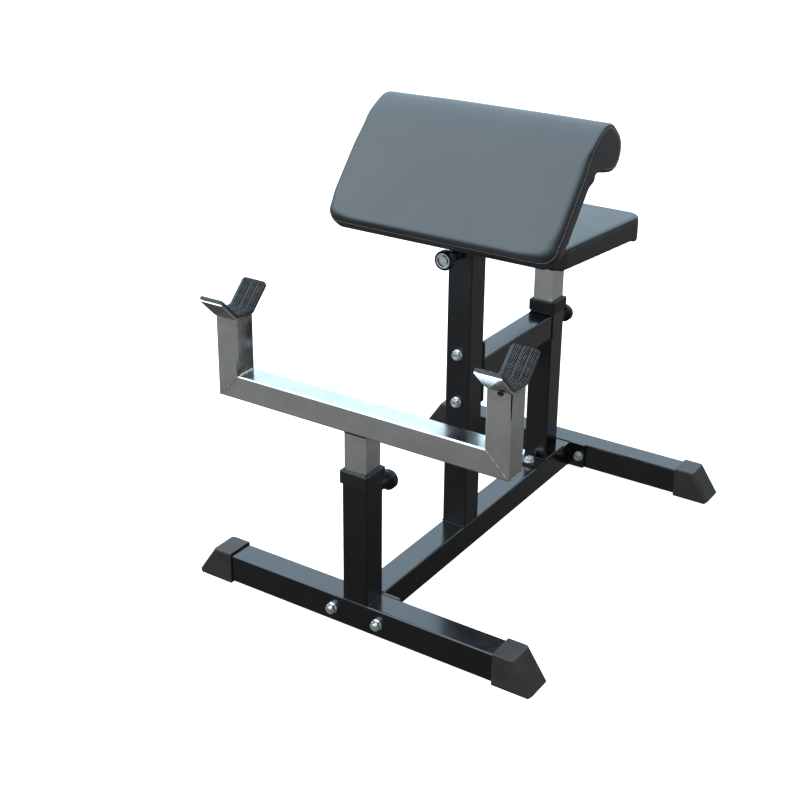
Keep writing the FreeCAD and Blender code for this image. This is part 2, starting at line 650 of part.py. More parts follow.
bracket = flat_piece("pad_bracket", slope_rect("bracket_wide", "bracket_long",
                                               "bracket_mid"),
                     "bracket_thick",
                     (-S["pad_thick"] - S["bracket_thick"], "-pad_thick - bracket_thick"),
                     ("bracket_bolt_x", "bracket_mid", "bracket_bolt_s"),
                     "small_hole_r", "bracket_corner")
on_slope(bracket)

# the stem's top is cut along the slope, against the underside of the bracket
pad_stem_run = stem("pad_stem_run", "pad_stem_length", "pad_first_hole", False)
place(pad_stem_run, "0", "upright_y", "pad_stem_base_z")
slope_block = doc.addObject("Part::Box", "slope_block")
slope_block.Length, slope_block.Width, slope_block.Height = 200, 400, 200
slope_block.Placement = FreeCAD.Placement(
    V(0, S["pad_low_y"], S["pad_low_z"])
    + PAD_TURN.multVec(V(-100, -100, -S["pad_thick"] - S["bracket_thick"])), PAD_TURN)
pad_stem = cut("pad_stem", pad_stem_run, slope_block)


# ------------------------------------------------------------------- seat
def seat_outline(front, back, front_half, back_half):
    return lambda sk: add_poly(sk, [("-" + front_half, "-" + front),
                                    (front_half, "-" + front),
                                    (back_half, back), ("-" + back_half, back)])


seat_pad = new_body("seat_pad")
sk = new_sketch(seat_pad, "seat_pad_outline", "XY_Plane")
seat_outline("seat_front", "seat_back", "seat_front_half", "seat_back_half")(sk)
pad = add_pad(seat_pad, "seat_pad_thickness", sk, "seat_thick")
pad = add_fillet(seat_pad, "seat_pad_corners", pad, "seat_corner",
                 lambda e: along(e, Z))
add_fillet(seat_pad, "seat_pad_edge", pad, "seat_edge",
           lambda e: abs(e.BoundBox.ZMin - S["seat_thick"]) < 1e-6)
sk = new_sketch(seat_pad, "seat_board_room_sketch", "XY_Plane")
seat_outline("seat_board_front", "seat_board_back", "seat_board_front_half",
             "seat_board_back_half")(sk)
add_pocket(seat_pad, "seat_board_room", sk, "board_thick", reverse=True)
sk = new_sketch(seat_pad, "seat_tee_room_sketch", "XY_Plane")
four_circles(sk, "seat_bolt_x", None, "seat_bolt_y", "tee_recess_r")
sk.AttachmentOffset = FreeCAD.Placement(V(0, 0, S["board_thick"]), ROT())
sk.setExpression("AttachmentOffset.Base.z", text_of("board_thick"))
add_pocket(seat_pad, "seat_tee_room", sk, "tee_recess_deep", reverse=True)
place(seat_pad, "0", "seat_post_y", "seat_low_z")

seat_board = flat_piece("seat_board", seat_outline("seat_board_front", "seat_board_back",
                                                   "seat_board_front_half",
                                                   "seat_board_back_half"),
                        "board_thick", (0.0, "0"),
                        ("seat_bolt_x", None, "seat_bolt_y"), "tee_hole_r",
                        "seat_board_corner")
place(seat_board, "0", "seat_post_y", "seat_low_z")

seat_plate = flat_piece("seat_plate",
                        lambda sk: add_rect(sk, "seat_plate_wide", "seat_plate_long", "plate"),
                        "bracket_thick", (0.0, "0"),
                        ("seat_bolt_x", None, "seat_bolt_y"), "small_hole_r",
                        "bracket_corner")
place(seat_plate, "0", "seat_post_y", "seat_plate_z")

seat_stem = stem("seat_stem", "seat_stem_length", "seat_first_hole", True)
place(seat_stem, "0", "seat_post_y", "seat_stem_base_z")


# --------------------------------------------------------------- pull pins
def turned(name, points, sheet_plane="XZ_Plane"):
    """A turned piece: a closed outline in radius and height, about its own Z."""
    body = new_body(name)
    sk = new_sketch(body, name + "_half_section", sheet_plane)
    add_poly(sk, points)
    spin = body.newObject("PartDesign::Revolution", name + "_turned")
    spin.Profile = sk
    spin.ReferenceAxis = (sk, ["V_Axis"])
    spin.Angle = 360.0
    doc.recompute()
    return body


BOSS = [("pin_hole_r", "pin_face"), ("pin_boss_r", "pin_face"),
        ("pin_boss_r", "pin_boss_shoulder"), ("pin_boss_end_r", "pin_boss_end"),
        ("pin_rod_hole_r", "pin_boss_end"), ("pin_rod_hole_r", "pin_chamber_end"),
        ("pin_chamber_r", "pin_chamber_end"), ("pin_chamber_r", "pin_chamber_start"),
        ("pin_hole_r", "pin_chamber_start")]
PLUNGER = [("0", "pin_tip"), ("pin_tip_r", "pin_tip"), ("pin_r", "pin_tip_end"),
           ("pin_r", "pin_collar_start"), ("pin_collar_r", "pin_collar_start"),
           ("pin_collar_r", "pin_collar_end"), ("pin_rod_r", "pin_collar_end"),
           ("pin_rod_r", "pin_rod_end"), ("0", "pin_rod_end")]
KNOB = [("knob_bore_r", "knob_start"), ("knob_neck_r", "knob_start"),
        ("knob_neck_end_r", "knob_neck_end"), ("knob_back_r", "knob_back"),
        ("knob_r", "knob_rim_start"), ("knob_r", "knob_rim_end"),
        ("knob_face_r", "knob_face"), ("knob_recess_r", "knob_face"),
        ("knob_recess_r", "knob_recess"), ("knob_bore_r", "knob_recess")]


def spring(name):
    """A coil spring between the plunger's collar and the boss's end wall.

    Each half turn is half a ring, tilted to climb by its share of the length; all
    of them meet in one plane through the axis, so the wire runs on smoothly."""
    mean_r, halves = S["spring_mean_r"], int(round(2 * S["spring_turns"]))
    rise = (S["spring_end"] - S["spring_start"]) / halves
    rings = []
    for i in range(halves):
        side = 1.0 if i % 2 == 0 else -1.0
        low = V(side * mean_r, 0, S["spring_start"] + i * rise)
        high = V(-side * mean_r, 0, S["spring_start"] + (i + 1) * rise)
        across = high - low
        axis = V(-across.z, 0, across.x) * -side
        edge = Part.makeCircle(S["spring_wire_r"], low, V(0, 1, 0))
        disc = Part.Face(Part.Wire([edge]))
        rings.append(disc.revolve((low + high) * 0.5, axis, 180.0))
    coil = rings[0].multiFuse(rings[1:]).removeSplitter()
    obj = doc.addObject("Part::Feature", name)
    obj.Label = name
    obj.Shape = coil.Solids[0]
    return obj


for who, post_y, pin_z, backwards in (
        ("rack", "front_y", "rack_pin_height + base_top_z", True),
        ("pad", "upright_y", "pad_pin_height + base_top_z", False),
        ("seat", "seat_post_y", "seat_pin_height + seat_post_base_z", True)):
    outwards = ROT(X, -90.0) if backwards else ROT(X, 90.0)
    place(turned(who + "_pin_housing", BOSS), "0", post_y, pin_z, outwards)
    place(turned(who + "_pin_plunger", PLUNGER), "0", post_y, pin_z, outwards)
    knob = turned(who + "_pin_knob", KNOB)
    flute, sk = drill(knob, who + "_knob_flute", "XY_Plane", [("knob_flute_at", "0")],
                      "knob_flute_r")
    ring = knob.newObject("PartDesign::PolarPattern", who + "_knob_flutes")
    ring.Originals = [flute]
    ring.Axis = (sk, ["N_Axis"])
    ring.Angle = 360.0
    bind(ring, "Occurrences", "knob_flutes")
    knob.Tip = ring
    doc.recompute()
    place(knob, "0", post_y, pin_z, outwards)
    place(spring(who + "_pin_spring"), "0", post_y, pin_z, outwards)
    disc = new_body(who + "_pin_disc")
    sk = new_sketch(disc, who + "_disc_outline", "XY_Plane")
    add_circle(sk, "0", "0", "disc_r", "disc")
    sk.AttachmentOffset = FreeCAD.Placement(V(0, 0, S["disc_start"]), ROT())
    sk.setExpression("AttachmentOffset.Base.z", text_of("disc_start"))
    add_pad(disc, who + "_disc_thickness", sk, "disc_thick")
    place(disc, "0", post_y, pin_z, outwards)


# --------------------------------------------------------------- fasteners
def hex_head(name, radius, tall):
    """A hexagon with its outer corners chamfered by a cone, from its origin up."""
    prism = doc.addObject("Part::Prism", name + "_hexagon")
    prism.Polygon = 6
    bind(prism, "Circumradius", radius)
    bind(prism, "Height", tall)
    cone = doc.addObject("Part::Cone", name + "_chamfer")
    bind(cone, "Radius1", radius + " + " + tall + " - 1.2")
    bind(cone, "Radius2", radius + " - 1.2")
    bind(cone, "Height", tall)
    both = doc.addObject("Part::Common", name)
    both.Base, both.Tool = prism, cone
    doc.recompute()
    return both


def hex_bolt(name, radius, head_r, head_tall, length):
    """Head upwards from its origin, shank downwards."""
    head = hex_head(name + "_head", head_r, head_tall)
    shank = doc.addObject("Part::Cylinder", name + "_shank")
    bind(shank, "Radius", radius)
    bind(shank, "Height", length)
    bind(shank, "Placement.Base.z", "-" + length)
    whole = doc.addObject("Part::Fuse", name)
    whole.Base, whole.Tool = head, shank
    doc.recompute()
    return whole


def bored(name, base, hole_r, tall):
    hole = doc.addObject("Part::Cylinder", name + "_hole")
    bind(hole, "Radius", hole_r)
    bind(hole, "Height", tall)
    return cut(name, base, hole)


def disc_of(name, radius, tall):
    piece = doc.addObject("Part::Cylinder", name)
    bind(piece, "Radius", radius)
    bind(piece, "Height", tall)
    return piece


bar_bolt = hex_bolt("bar_bolt", "bolt_r", "bolt_head_r", "bolt_head_tall", "bar_bolt_length")
foot_bolt = hex_bolt("foot_bolt", "bolt_r", "bolt_head_r", "bolt_head_tall",
                     "foot_bolt_length")
pad_bolt = hex_bolt("pad_bolt", "small_bolt_r", "small_head_r", "small_head_tall",
                    "small_bolt_length")
frame_nut = bored("frame_nut", hex_head("nut_blank", "bolt_head_r", "nut_tall"),
                  "nut_hole_r", "nut_tall")
frame_washer = bored("frame_washer", disc_of("washer_blank", "washer_r", "washer_thick"),
                     "nut_hole_r", "washer_thick")
small_washer = bored("small_washer", disc_of("small_blank", "small_washer_r",
                                             "small_washer_thick"),
                     "tee_bore_r", "small_washer_thick")
tee_barrel = doc.addObject("Part::Cylinder", "tee_barrel")
bind(tee_barrel, "Radius", "tee_barrel_r")
bind(tee_barrel, "Height", "tee_length")
tee_flange = doc.addObject("Part::Cylinder", "tee_flange")
bind(tee_flange, "Radius", "tee_flange_r")
bind(tee_flange, "Height", "tee_flange_thick")
bind(tee_flange, "Placement.Base.z", "tee_length")
tee_blank = doc.addObject("Part::Fuse", "tee_blank")
tee_blank.Base, tee_blank.Tool = tee_barrel, tee_flange
tee_nut = bored("tee_nut", tee_blank, "tee_bore_r", "tee_length + tee_flange_thick")
doc.recompute()


def group(name, pieces):
    """Several like fasteners in one node: (master, place, rotation) for each."""
    solids = []
    for master, at, turn in pieces:
        solid = master.Shape.copy()
        solid.Placement = FreeCAD.Placement(at, turn).multiply(master.Shape.Placement)
        solids.append(solid)
    obj = doc.addObject("Part::Feature", name)
    obj.Label = name
    obj.Shape = Part.makeCompound(solids)
    obj.Placement = FreeCAD.Placement()
    return obj


FORWARD, REARWARD, UPWARD = ROT(X, 90.0), ROT(X, -90.0), ROT()
w_thick = S["washer_thick"]
bolts, nuts, washers = [], [], []
base_z = S["base_axis_z"]
front_face = S["front_y"] - S["tube_outer"] / 2
rear_face = S["rear_y"] + S["tube_outer"] / 2
front_back = S["front_flange_y"] + S["flange_thick"] / 2
rear_front = S["rear_flange_y"] - S["flange_thick"] / 2
for side in (1, -1):
    hx = side * S["flange_hole"]
    # front crossbar: heads behind the flange, nuts on the front face
    bolts.append((bar_bolt, V(hx, front_back + w_thick, base_z), REARWARD))
    washers.append((frame_washer, V(hx, front_back, base_z), REARWARD))
    washers.append((frame_washer, V(hx, front_face, base_z), FORWARD))
    nuts.append((frame_nut, V(hx, front_face - w_thick, base_z), FORWARD))
    # rear crossbar: heads in front of the flange, nuts on the rear face
    bolts.append((bar_bolt, V(hx, rear_front - w_thick, base_z), FORWARD))
    washers.append((frame_washer, V(hx, rear_front, base_z), FORWARD))
    washers.append((frame_washer, V(hx, rear_face, base_z), REARWARD))
    nuts.append((frame_nut, V(hx, rear_face + w_thick, base_z), REARWARD))
upright_face = S["upright_y"] - S["tube_outer"] / 2
seat_back_face = S["seat_flange_y"] + S["flange_thick"] / 2
for height in ("upright_bolt_low", "upright_bolt_high"):
    hz = S["base_top_z"] + S[height]
    bolts.append((bar_bolt, V(0, upright_face - w_thick, hz), FORWARD))
    washers.append((frame_washer, V(0, upright_face, hz), FORWARD))
    washers.append((frame_washer, V(0, seat_back_face, hz), REARWARD))
    nuts.append((frame_nut, V(0, seat_back_face + w_thick, hz), REARWARD))
plate_top = S["foot_plate_z"] + S["flange_thick"] / 2
under_top = S["base_top_z"] - (S["tube_outer"] - S["tube_cavity"]) / 2
for side in (1, -1):
    hy = S["seat_post_y"] + side * S["flange_hole"]
    bolts.append((foot_bolt, V(0, hy, plate_top + w_thick), UPWARD))
    washers.append((frame_washer, V(0, hy, plate_top), UPWARD))
    nuts.append((frame_nut, V(0, hy, under_top), ROT(X, 180.0)))
group("frame_bolts", bolts)
group("frame_nuts", nuts)
group("frame_washers", washers)

pad_at = FreeCAD.Placement(V(0, S["pad_low_y"], S["pad_low_z"]), PAD_TURN)
seat_at = FreeCAD.Placement(V(0, S["seat_post_y"], S["seat_plate_z"]), ROT())
down = ROT(X, 180.0)
for who, frame_at, bx, mid, off, low, board_low in (
        ("pad", pad_at, "bracket_bolt_x", S["bracket_mid"], "bracket_bolt_s",
         -S["pad_thick"] - S["bracket_thick"], -S["pad_thick"]),
        ("seat", seat_at, "seat_bolt_x", 0.0, "seat_bolt_y", 0.0, S["bracket_thick"])):
    bolts, washers, tees = [], [], []
    for sx in (1, -1):
        for sy in (1, -1):
            px, py = sx * S[bx], mid + sy * S[off]
            for master, height, turn, into in (
                    (pad_bolt, low - S["small_washer_thick"], down, bolts),
                    (small_washer, low, down, washers),
                    (tee_nut, board_low + S["board_thick"] - S["tee_length"], ROT(), tees)):
                at = frame_at.multVec(V(px, py, height))
                into.append((master, at, frame_at.Rotation.multiply(turn)))
    group(who + "_bolts", bolts)
    group(who + "_washers", washers)
    group(who + "_tee_nuts", tees)

# --------------------------------------------------------- check and write
NODES = [
    "front_cross_tube", "rear_cross_tube", "base_beam", "base_front_flange",
    "base_rear_flange", "front_post", "main_upright", "seat_beam", "seat_beam_flange",
    "seat_post", "seat_post_foot_plate", "front_left_foot", "front_right_foot",
    "rear_left_foot", "rear_right_foot", "rack_collar", "pad_collar", "seat_collar",
    "rack_pin_housing", "pad_pin_housing", "seat_pin_housing", "frame_bolts",
    "frame_nuts", "frame_washers", "rack_stem", "rack_cross_tube", "rack_upright_left",
    "rack_upright_right", "rack_cradle_left", "rack_cradle_right", "rack_liner_left",
    "rack_liner_right", "pad_stem", "pad_bracket", "arm_pad_board", "arm_pad",
    "pad_bolts", "pad_washers", "pad_tee_nuts", "seat_stem", "seat_plate", "seat_board",
    "seat_pad", "seat_bolts", "seat_washers", "seat_tee_nuts", "rack_pin_plunger",
    "pad_pin_plunger", "seat_pin_plunger", "rack_pin_spring", "pad_pin_spring",
    "seat_pin_spring", "rack_pin_knob", "pad_pin_knob", "seat_pin_knob",
    "rack_pin_disc", "pad_pin_disc", "seat_pin_disc",
]
doc.recompute()
for obj in doc.Objects:
    if "Invalid" in obj.State or "Error" in obj.State:
        raise RuntimeError("failed object: " + obj.Name + " " + str(obj.State))
box = FreeCAD.BoundBox()
by_label = {obj.Label: obj for obj in doc.Objects}
for node in NODES:
    shape = by_label[node].Shape
    if shape.isNull() or not shape.isValid() or shape.Volume <= 0:
        raise RuntimeError("bad shape: " + node)
    box.add(shape.BoundBox)
os.makedirs("parts", exist_ok=True)
for node in NODES:
    by_label[node].Shape.exportStep("parts/%s.step" % node)
print("%d nodes, box %.1f..%.1f  %.1f..%.1f  %.1f..%.1f" % (
    len(NODES), box.XMin, box.XMax, box.YMin, box.YMax, box.ZMin, box.ZMax))
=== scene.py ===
"""Looks for a preacher curl bench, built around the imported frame.

Metres, Z up, the bar rack faces -Y and the seat is at +Y. Every piece is made
in the same frame as the CAD nodes and rides on one of their bodies.
"""
import json
import math
import random

import bmesh
import bpy
import numpy as np
from mathutils import Matrix, Vector
from mathutils.bvhtree import BVHTree
from mathutils.kdtree import KDTree

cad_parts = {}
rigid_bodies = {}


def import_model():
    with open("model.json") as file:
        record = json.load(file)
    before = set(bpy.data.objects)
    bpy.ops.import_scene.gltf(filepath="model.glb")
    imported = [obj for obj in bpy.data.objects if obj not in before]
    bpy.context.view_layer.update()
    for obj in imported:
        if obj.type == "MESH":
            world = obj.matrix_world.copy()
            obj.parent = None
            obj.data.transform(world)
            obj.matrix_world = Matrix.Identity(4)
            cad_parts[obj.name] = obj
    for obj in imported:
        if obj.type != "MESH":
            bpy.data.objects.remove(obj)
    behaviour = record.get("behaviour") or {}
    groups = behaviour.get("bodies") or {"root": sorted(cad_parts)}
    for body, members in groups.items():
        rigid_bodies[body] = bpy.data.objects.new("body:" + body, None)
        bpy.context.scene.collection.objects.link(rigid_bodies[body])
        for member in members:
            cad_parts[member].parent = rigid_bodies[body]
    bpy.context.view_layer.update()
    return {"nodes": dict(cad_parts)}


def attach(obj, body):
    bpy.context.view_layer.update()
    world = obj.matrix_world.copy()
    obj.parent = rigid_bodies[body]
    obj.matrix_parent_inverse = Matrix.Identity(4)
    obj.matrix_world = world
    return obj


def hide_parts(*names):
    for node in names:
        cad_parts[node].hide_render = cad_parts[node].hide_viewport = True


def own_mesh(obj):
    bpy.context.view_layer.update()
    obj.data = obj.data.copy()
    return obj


scene = bpy.context.scene
for old in list(bpy.data.objects):
    bpy.data.objects.remove(old)

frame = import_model()
nodes = frame["nodes"]
RNG = random.Random(11)

FRONT_Y, UPRIGHT_Y, SEAT_Y, REAR_Y = -0.37816, -0.04816, 0.27884, 0.39884
FRONT_FLANGE, REAR_FLANGE, FOOT_PLATE = -0.35066, 0.37134, 0.0595
BOLT_OUT, UPRIGHT_BOLTS = 0.0475, (0.3145, 0.4095)
MM = 0.001


# ---------------------------------------------------------------- node trees
class Tree:
    """Short words for building a node tree."""

    def __init__(self, node_tree):
        self.nt = node_tree
        node_tree.nodes.clear()

    def put(self, socket, value):
        if isinstance(value, bpy.types.NodeSocket):
            self.nt.links.new(value, socket)
        else:
            socket.default_value = value

    def add(self, kind, props=None, **inputs):
        n = self.nt.nodes.new("ShaderNode" + kind)
        for key, value in (props or {}).items():
            setattr(n, key, value)
        for key, value in inputs.items():
            self.put(n.inputs[key.replace("_", " ")], value)
        return n

    def math(self, op, a, b=None, c=None, clamp=False):
        n = self.nt.nodes.new("ShaderNodeMath")
        n.operation, n.use_clamp = op, clamp
        for i, v in enumerate((a, b, c)):
            if v is not None:
                self.put(n.inputs[i], v)
        return n.outputs[0]

    def vmath(self, op, a, b=None):
        n = self.nt.nodes.new("ShaderNodeVectorMath")
        n.operation = op
        self.put(n.inputs[0], a)
        if b is not None:
            self.put(n.inputs[1], b)
        return n.outputs["Value"] if op in ("DOT_PRODUCT", "LENGTH", "DISTANCE") else n.outputs[0]

    def span(self, v, a, b, c=0.0, d=1.0, smooth=True):
        n = self.add("MapRange", {"interpolation_type": "SMOOTHSTEP" if smooth else "LINEAR"})
        n.clamp = True
        for i, value in enumerate((v, a, b, c, d)):
            self.put(n.inputs[i], value)
        return n.outputs[0]

    def mix(self, fac, a, b, blend="MIX"):
        n = self.add("Mix", {"data_type": "RGBA", "blend_type": blend})
        self.put(n.inputs[0], fac)
        self.put(n.inputs[6], a)
        self.put(n.inputs[7], b)
        return n.outputs[2]

    def stretch(self, co, scale):
        return self.add("Mapping", Vector=co, Scale=scale).outputs[0]

    def noise(self, co, scale, detail=2.0, rough=0.5, distort=0.0):
        return self.add("TexNoise", Vector=co, Scale=scale, Detail=detail,
                        Roughness=rough, Distortion=distort).outputs[0]

    def cells(self, co, scale, feature="F1", rand=1.0):
        return self.add("TexVoronoi", {"feature": feature}, Vector=co, Scale=scale,
                        Randomness=rand).outputs["Distance"]

    def xyz(self, co):
        return self.add("SeparateXYZ", Vector=co).outputs

    def bump(self, height, strength, distance, normal=None):
        n = self.add("Bump", Strength=strength, Distance=distance, Height=height)
        if normal is not None:
            self.put(n.inputs["Normal"], normal)
        return n.outputs[0]


def rgb(r, g=None, b=None):
    return (r, r if g is None else g, r if b is None else b, 1.0)


def material(name):
    m = bpy.data.materials.new(name)
    m.use_nodes = True
    t = Tree(m.node_tree)
    shader = t.add("BsdfPrincipled")
    out = t.add("OutputMaterial")
    t.put(out.inputs["Surface"], shader.outputs[0])
    co = t.add("TexCoord").outputs["Object"]
    return m, t, shader.inputs, co


# ---------------------------------------------------------------- camera, floor, light
def add_camera():
    az, el, roll = (math.radians(a) for a in (33.219, 22.353, 0.5))
    back = Vector((math.sin(az) * math.cos(el), -math.cos(az) * math.cos(el), math.sin(el)))
    right = Vector((math.cos(az), math.sin(az), 0.0))
    up = right.cross(-back)
    x = right * math.cos(roll) + up * math.sin(roll)
    y = up * math.cos(roll) - right * math.sin(roll)
    data = bpy.data.cameras.new("camera")
    data.sensor_fit, data.sensor_width = "HORIZONTAL", 36.0
    data.lens = 62.597
    data.shift_y = -0.075
    data.clip_start, data.clip_end = 0.05, 300.0
    cam = bpy.data.objects.new("camera", data)
    m = Matrix((x, y, back)).transposed().to_4x4()
    m.translation = (1.193368, -2.088623, 1.399842)
    cam.matrix_world = m
    scene.collection.objects.link(cam)
    scene.camera = cam


def add_studio():
    """A pale floor under a wide soft sky with a large soft light at the front left."""
    world = bpy.data.worlds.new("studio")
    scene.world = world
    world.use_nodes = True
    t = Tree(world.node_tree)
    direction = t.vmath("NORMALIZE", t.add("TexCoord").outputs["Generated"])
    x, y, z = t.xyz(direction)
    front = t.span(z, -0.60, -0.38, 0.157, 0.30)
    rear = t.span(z, -0.54, -0.37, 0.078, 0.262)
    back = t.span(y, -0.5, 0.5)
    level = t.math("ADD", t.math("MULTIPLY", rear, back), t.math("MULTIPLY", front, t.math("SUBTRACT", 1.0, back)))
    ground = t.mix(level, rgb(0.0), rgb(1.0, 1.01, 1.01))
    sky = t.mix(t.span(z, 0.39, 0.53), rgb(1.20, 1.57, 1.84), rgb(1.95, 2.55, 3.05))
    sky = t.mix(t.span(z, 0.55, 0.75), sky, rgb(2.7, 3.5, 4.1))
    # The room is darker on the right, most of all low down.
    sky = t.mix(t.span(x, 0.35, 0.80, 0.0, 0.6), sky, rgb(0.0))
    lift = t.math("MULTIPLY", t.span(x, 0.15, 0.6), 0.26)
    base = t.mix(t.span(t.math("SUBTRACT", z, lift), -0.05, 0.09), ground, sky)
    soft = t.vmath("DOT_PRODUCT", direction, tuple(Vector((-0.50, -0.52, 0.70)).normalized()))
    glow = t.span(soft, 0.76, 0.96)
    total = t.mix(glow, base, rgb(3.9, 4.65, 5.2))
    background = t.add("Background", Color=total, Strength=1.0)
    out = t.add("OutputWorld")
    t.put(out.inputs["Surface"], background.outputs[0])

    bm = bmesh.new()
    bmesh.ops.create_grid(bm, x_segments=8, y_segments=8, size=60.0)
    me = bpy.data.meshes.new("floor")
    bm.to_mesh(me)
    bm.free()
    floor = bpy.data.objects.new("floor", me)
    scene.collection.objects.link(floor)
    floor.visible_glossy = False
    m, t, s, co = material("pale_floor")
    tone = t.noise(co, 0.6, 2)
    t.put(s["Base Color"], t.mix(tone, rgb(0.30), rgb(0.34)))
    s["Roughness"].default_value = 0.9
    s["Specular IOR Level"].default_value = 0.0
    s["Emission Color"].default_value = rgb(1.0)
    s["Emission Strength"].default_value = 1.0
    me.materials.append(m)

    # A white dome behind the floor's far edge. Only the camera sees it.
    ring, rise = 96, 12
    verts, faces = [], []
    for i in range(rise + 1):
        a = 0.5 * math.pi * i / rise
        for j in range(ring):
            b = 2 * math.pi * j / ring
            verts.append((58.0 * math.cos(b) * max(math.cos(a), 0.02), 58.0 * math.sin(b) * max(math.cos(a), 0.02), 58.0 * math.sin(a)))
    for i in range(rise):
        for j in range(ring):
            k = (j + 1) % ring
            faces.append((i * ring + j, i * ring + k, (i + 1) * ring + k, (i + 1) * ring + j))
    wall_mesh = bpy.data.meshes.new("backdrop")
    wall_mesh.from_pydata(verts, [], faces)
    wall = bpy.data.objects.new("backdrop", wall_mesh)
    scene.collection.objects.link(wall)
    wall.visible_diffuse = wall.visible_glossy = wall.visible_transmission = wall.visible_shadow = False
    m, t, s, co = material("white_backdrop")
    t.put(s["Base Color"], t.mix(t.noise(co, 0.6, 2), rgb(0.30), rgb(0.34)))
    s["Roughness"].default_value = 0.9
    s["Specular IOR Level"].default_value = 0.0
    s["Emission Color"].default_value = rgb(1.0)
    s["Emission Strength"].default_value = 1.0
    m.cycles.emission_sampling = "NONE"
    wall_mesh.materials.append(m)
    scene.view_settings.view_transform = "Standard"
    scene.view_settings.look = "None"


# ---------------------------------------------------------------- materials
def paint_material(name, low, high):
    """Black powder coat: fine orange peel, slightly uneven gloss, a few rubbed marks."""
    m, t, s, co = material(name)
    blotch = t.span(t.noise(co, 13, 3), 0.35, 0.65)
    marks = t.span(t.noise(t.stretch(co, (70, 70, 900)), 1.0, 3, 0.6), 0.70, 0.80)
    rub = t.math("MULTIPLY", marks, t.span(t.noise(co, 9, 2), 0.52, 0.68))
    colour = t.mix(blotch, rgb(0.0006), rgb(0.0011, 0.0011, 0.0012))
    t.put(s["Base Color"], t.mix(rub, colour, rgb(0.008)))
    gloss = t.span(t.noise(co, 55, 4), 0.3, 0.7, low, high, smooth=False)
    t.put(s["Roughness"], t.math("MULTIPLY_ADD", rub, 0.16, gloss))
    s["IOR"].default_value = 1.5
    peel = t.math("ADD", t.noise(co, 420, 2), t.math("MULTIPLY", t.noise(co, 1500, 1), 0.35))
    t.put(s["Normal"], t.bump(peel, 0.06, 0.0006))
    return m


def plated_material(name, axis, tint=None, split=None, soot=None, dim_top=False):
    """Plated steel drawn along one axis, cloudy in places, with heat colour near its welds."""
    m, t, s, co = material(name)
    long, short = 14.0, 700.0
    streak = t.noise(t.stretch(co, tuple(long if a == axis else short for a in "XYZ")), 1.0, 4, 0.6)
    cloud = t.noise(co, 24, 4, 0.6, 0.4)
    fine = t.noise(co, 240, 3)
    colour = t.mix(t.span(cloud, 0.3, 0.7), rgb(0.568, 0.575, 0.577), rgb(0.655, 0.661, 0.662))
    colour = t.mix(t.span(streak, 0.45, 0.8, 0.0, 0.22), colour, rgb(0.474, 0.480, 0.481))
    if dim_top:
        # The up-facing faces are painted a little darker, a painted shade that dims their bright reflection.
        up = t.xyz(t.add("NewGeometry").outputs["Normal"])[2]
        colour = t.mix(t.span(up, 0.6, 0.95, 0.0, 0.10), colour, rgb(0.06))
    if tint is not None:
        heat = t.math("MULTIPLY", tint(t, co), t.span(t.noise(co, 70, 3), 0.25, 0.7, 0.25, 1.0))
        colour = t.mix(t.math("MULTIPLY", heat, 0.42), colour, rgb(0.42, 0.33, 0.22))
    rough = t.math("MULTIPLY_ADD", streak, 0.08, t.span(cloud, 0.3, 0.7, 0.06, 0.11))
    if tint is not None:
        rough = t.math("MULTIPLY_ADD", heat, 0.22, rough)
    if soot is not None:
        burn = t.math("MULTIPLY", soot(t, co), t.span(t.noise(co, 60, 3), 0.25, 0.65, 0.75, 1.0))
        colour = t.mix(t.math("MULTIPLY", burn, 0.92), colour, rgb(0.062, 0.050, 0.032))
        rough = t.math("MULTIPLY_ADD", burn, 0.32, rough)
    if split is not None:
        # A thin dark line painted into the colour and roughness where one is given: the stem's shut line, and the dark
        # line down the right upright's corner.
        dark = split(t, co)
        colour = t.mix(dark, colour, rgb(0.012, 0.011, 0.010))
        rough = t.math("MULTIPLY_ADD", dark, 0.5, rough)
    t.put(s["Base Color"], colour)
    t.put(s["Roughness"], rough)
    s["Metallic"].default_value = 1.0
    relief = t.math("MULTIPLY_ADD", fine, 0.5, streak)
    t.put(s["Normal"], t.bump(relief, 0.05, 0.0003))
    return m


def near_mitre(t, co):
    """1 on the rack's two mitre joints, fading over 2 cm, and by the saddle plates."""
    x, y, z = t.xyz(co)
    off = t.math("ABSOLUTE", t.math("SUBTRACT", t.math("ADD", t.math("ABSOLUTE", x), z), 0.670))
    return t.math("MAXIMUM", t.span(off, 0.020, 0.001), t.span(z, 0.505, 0.529))


def from_pit(t, co, far, near, most):
    """A mark on the front face round the blown spot under the right saddle."""
    x, y, z = t.xyz(co)
    across, above = t.math("SUBTRACT", x, 0.2698), t.math("MULTIPLY", t.math("SUBTRACT", z, 0.5232), 1.25)
    away = t.math("SQRT", t.math("ADD", t.math("MULTIPLY", across, across), t.math("MULTIPLY", above, above)))
    return t.math("MULTIPLY", t.span(away, far, near, 0.0, most), t.math("LESS_THAN", y, FRONT_Y - 0.0222))


def near_pit(t, co):
    """The mitres' heat colour, and a wide yellow-brown patch round the blown spot."""
    return t.math("MAXIMUM", near_mitre(t, co), from_pit(t, co, 0.0150, 0.0060, 1.8))


def pit_soot(t, co):
    """The mitre's smoke, and a small scorched patch round the blown spot."""
    return t.math("MAXIMUM", inner_soot(t, co), from_pit(t, co, 0.0090, 0.0042, 0.75))


def inner_soot(t, co):
    """Smoke from the mitre weld, low on the faces that look at each other."""
    x, y, z = t.xyz(co)
    return t.math("MULTIPLY", t.span(t.math("ABSOLUTE", x), 0.2500, 0.2470), t.span(z, 0.466, 0.432))


def near_stem_top(t, co):
    x, y, z = t.xyz(co)
    side = t.math("ABSOLUTE", x)
    return t.math("MULTIPLY", t.span(z, 0.366, 0.380), t.span(side, 0.016, 0.0225))


def stem_gap(t, co):
    """The unwelded shut line between the stem and the cross tube on its front and rear faces."""
    x, y, z = t.xyz(co)
    return t.math("MULTIPLY", t.span(z, 0.3780, 0.3786), t.span(t.math("ABSOLUTE", x), 0.0224, 0.0218))


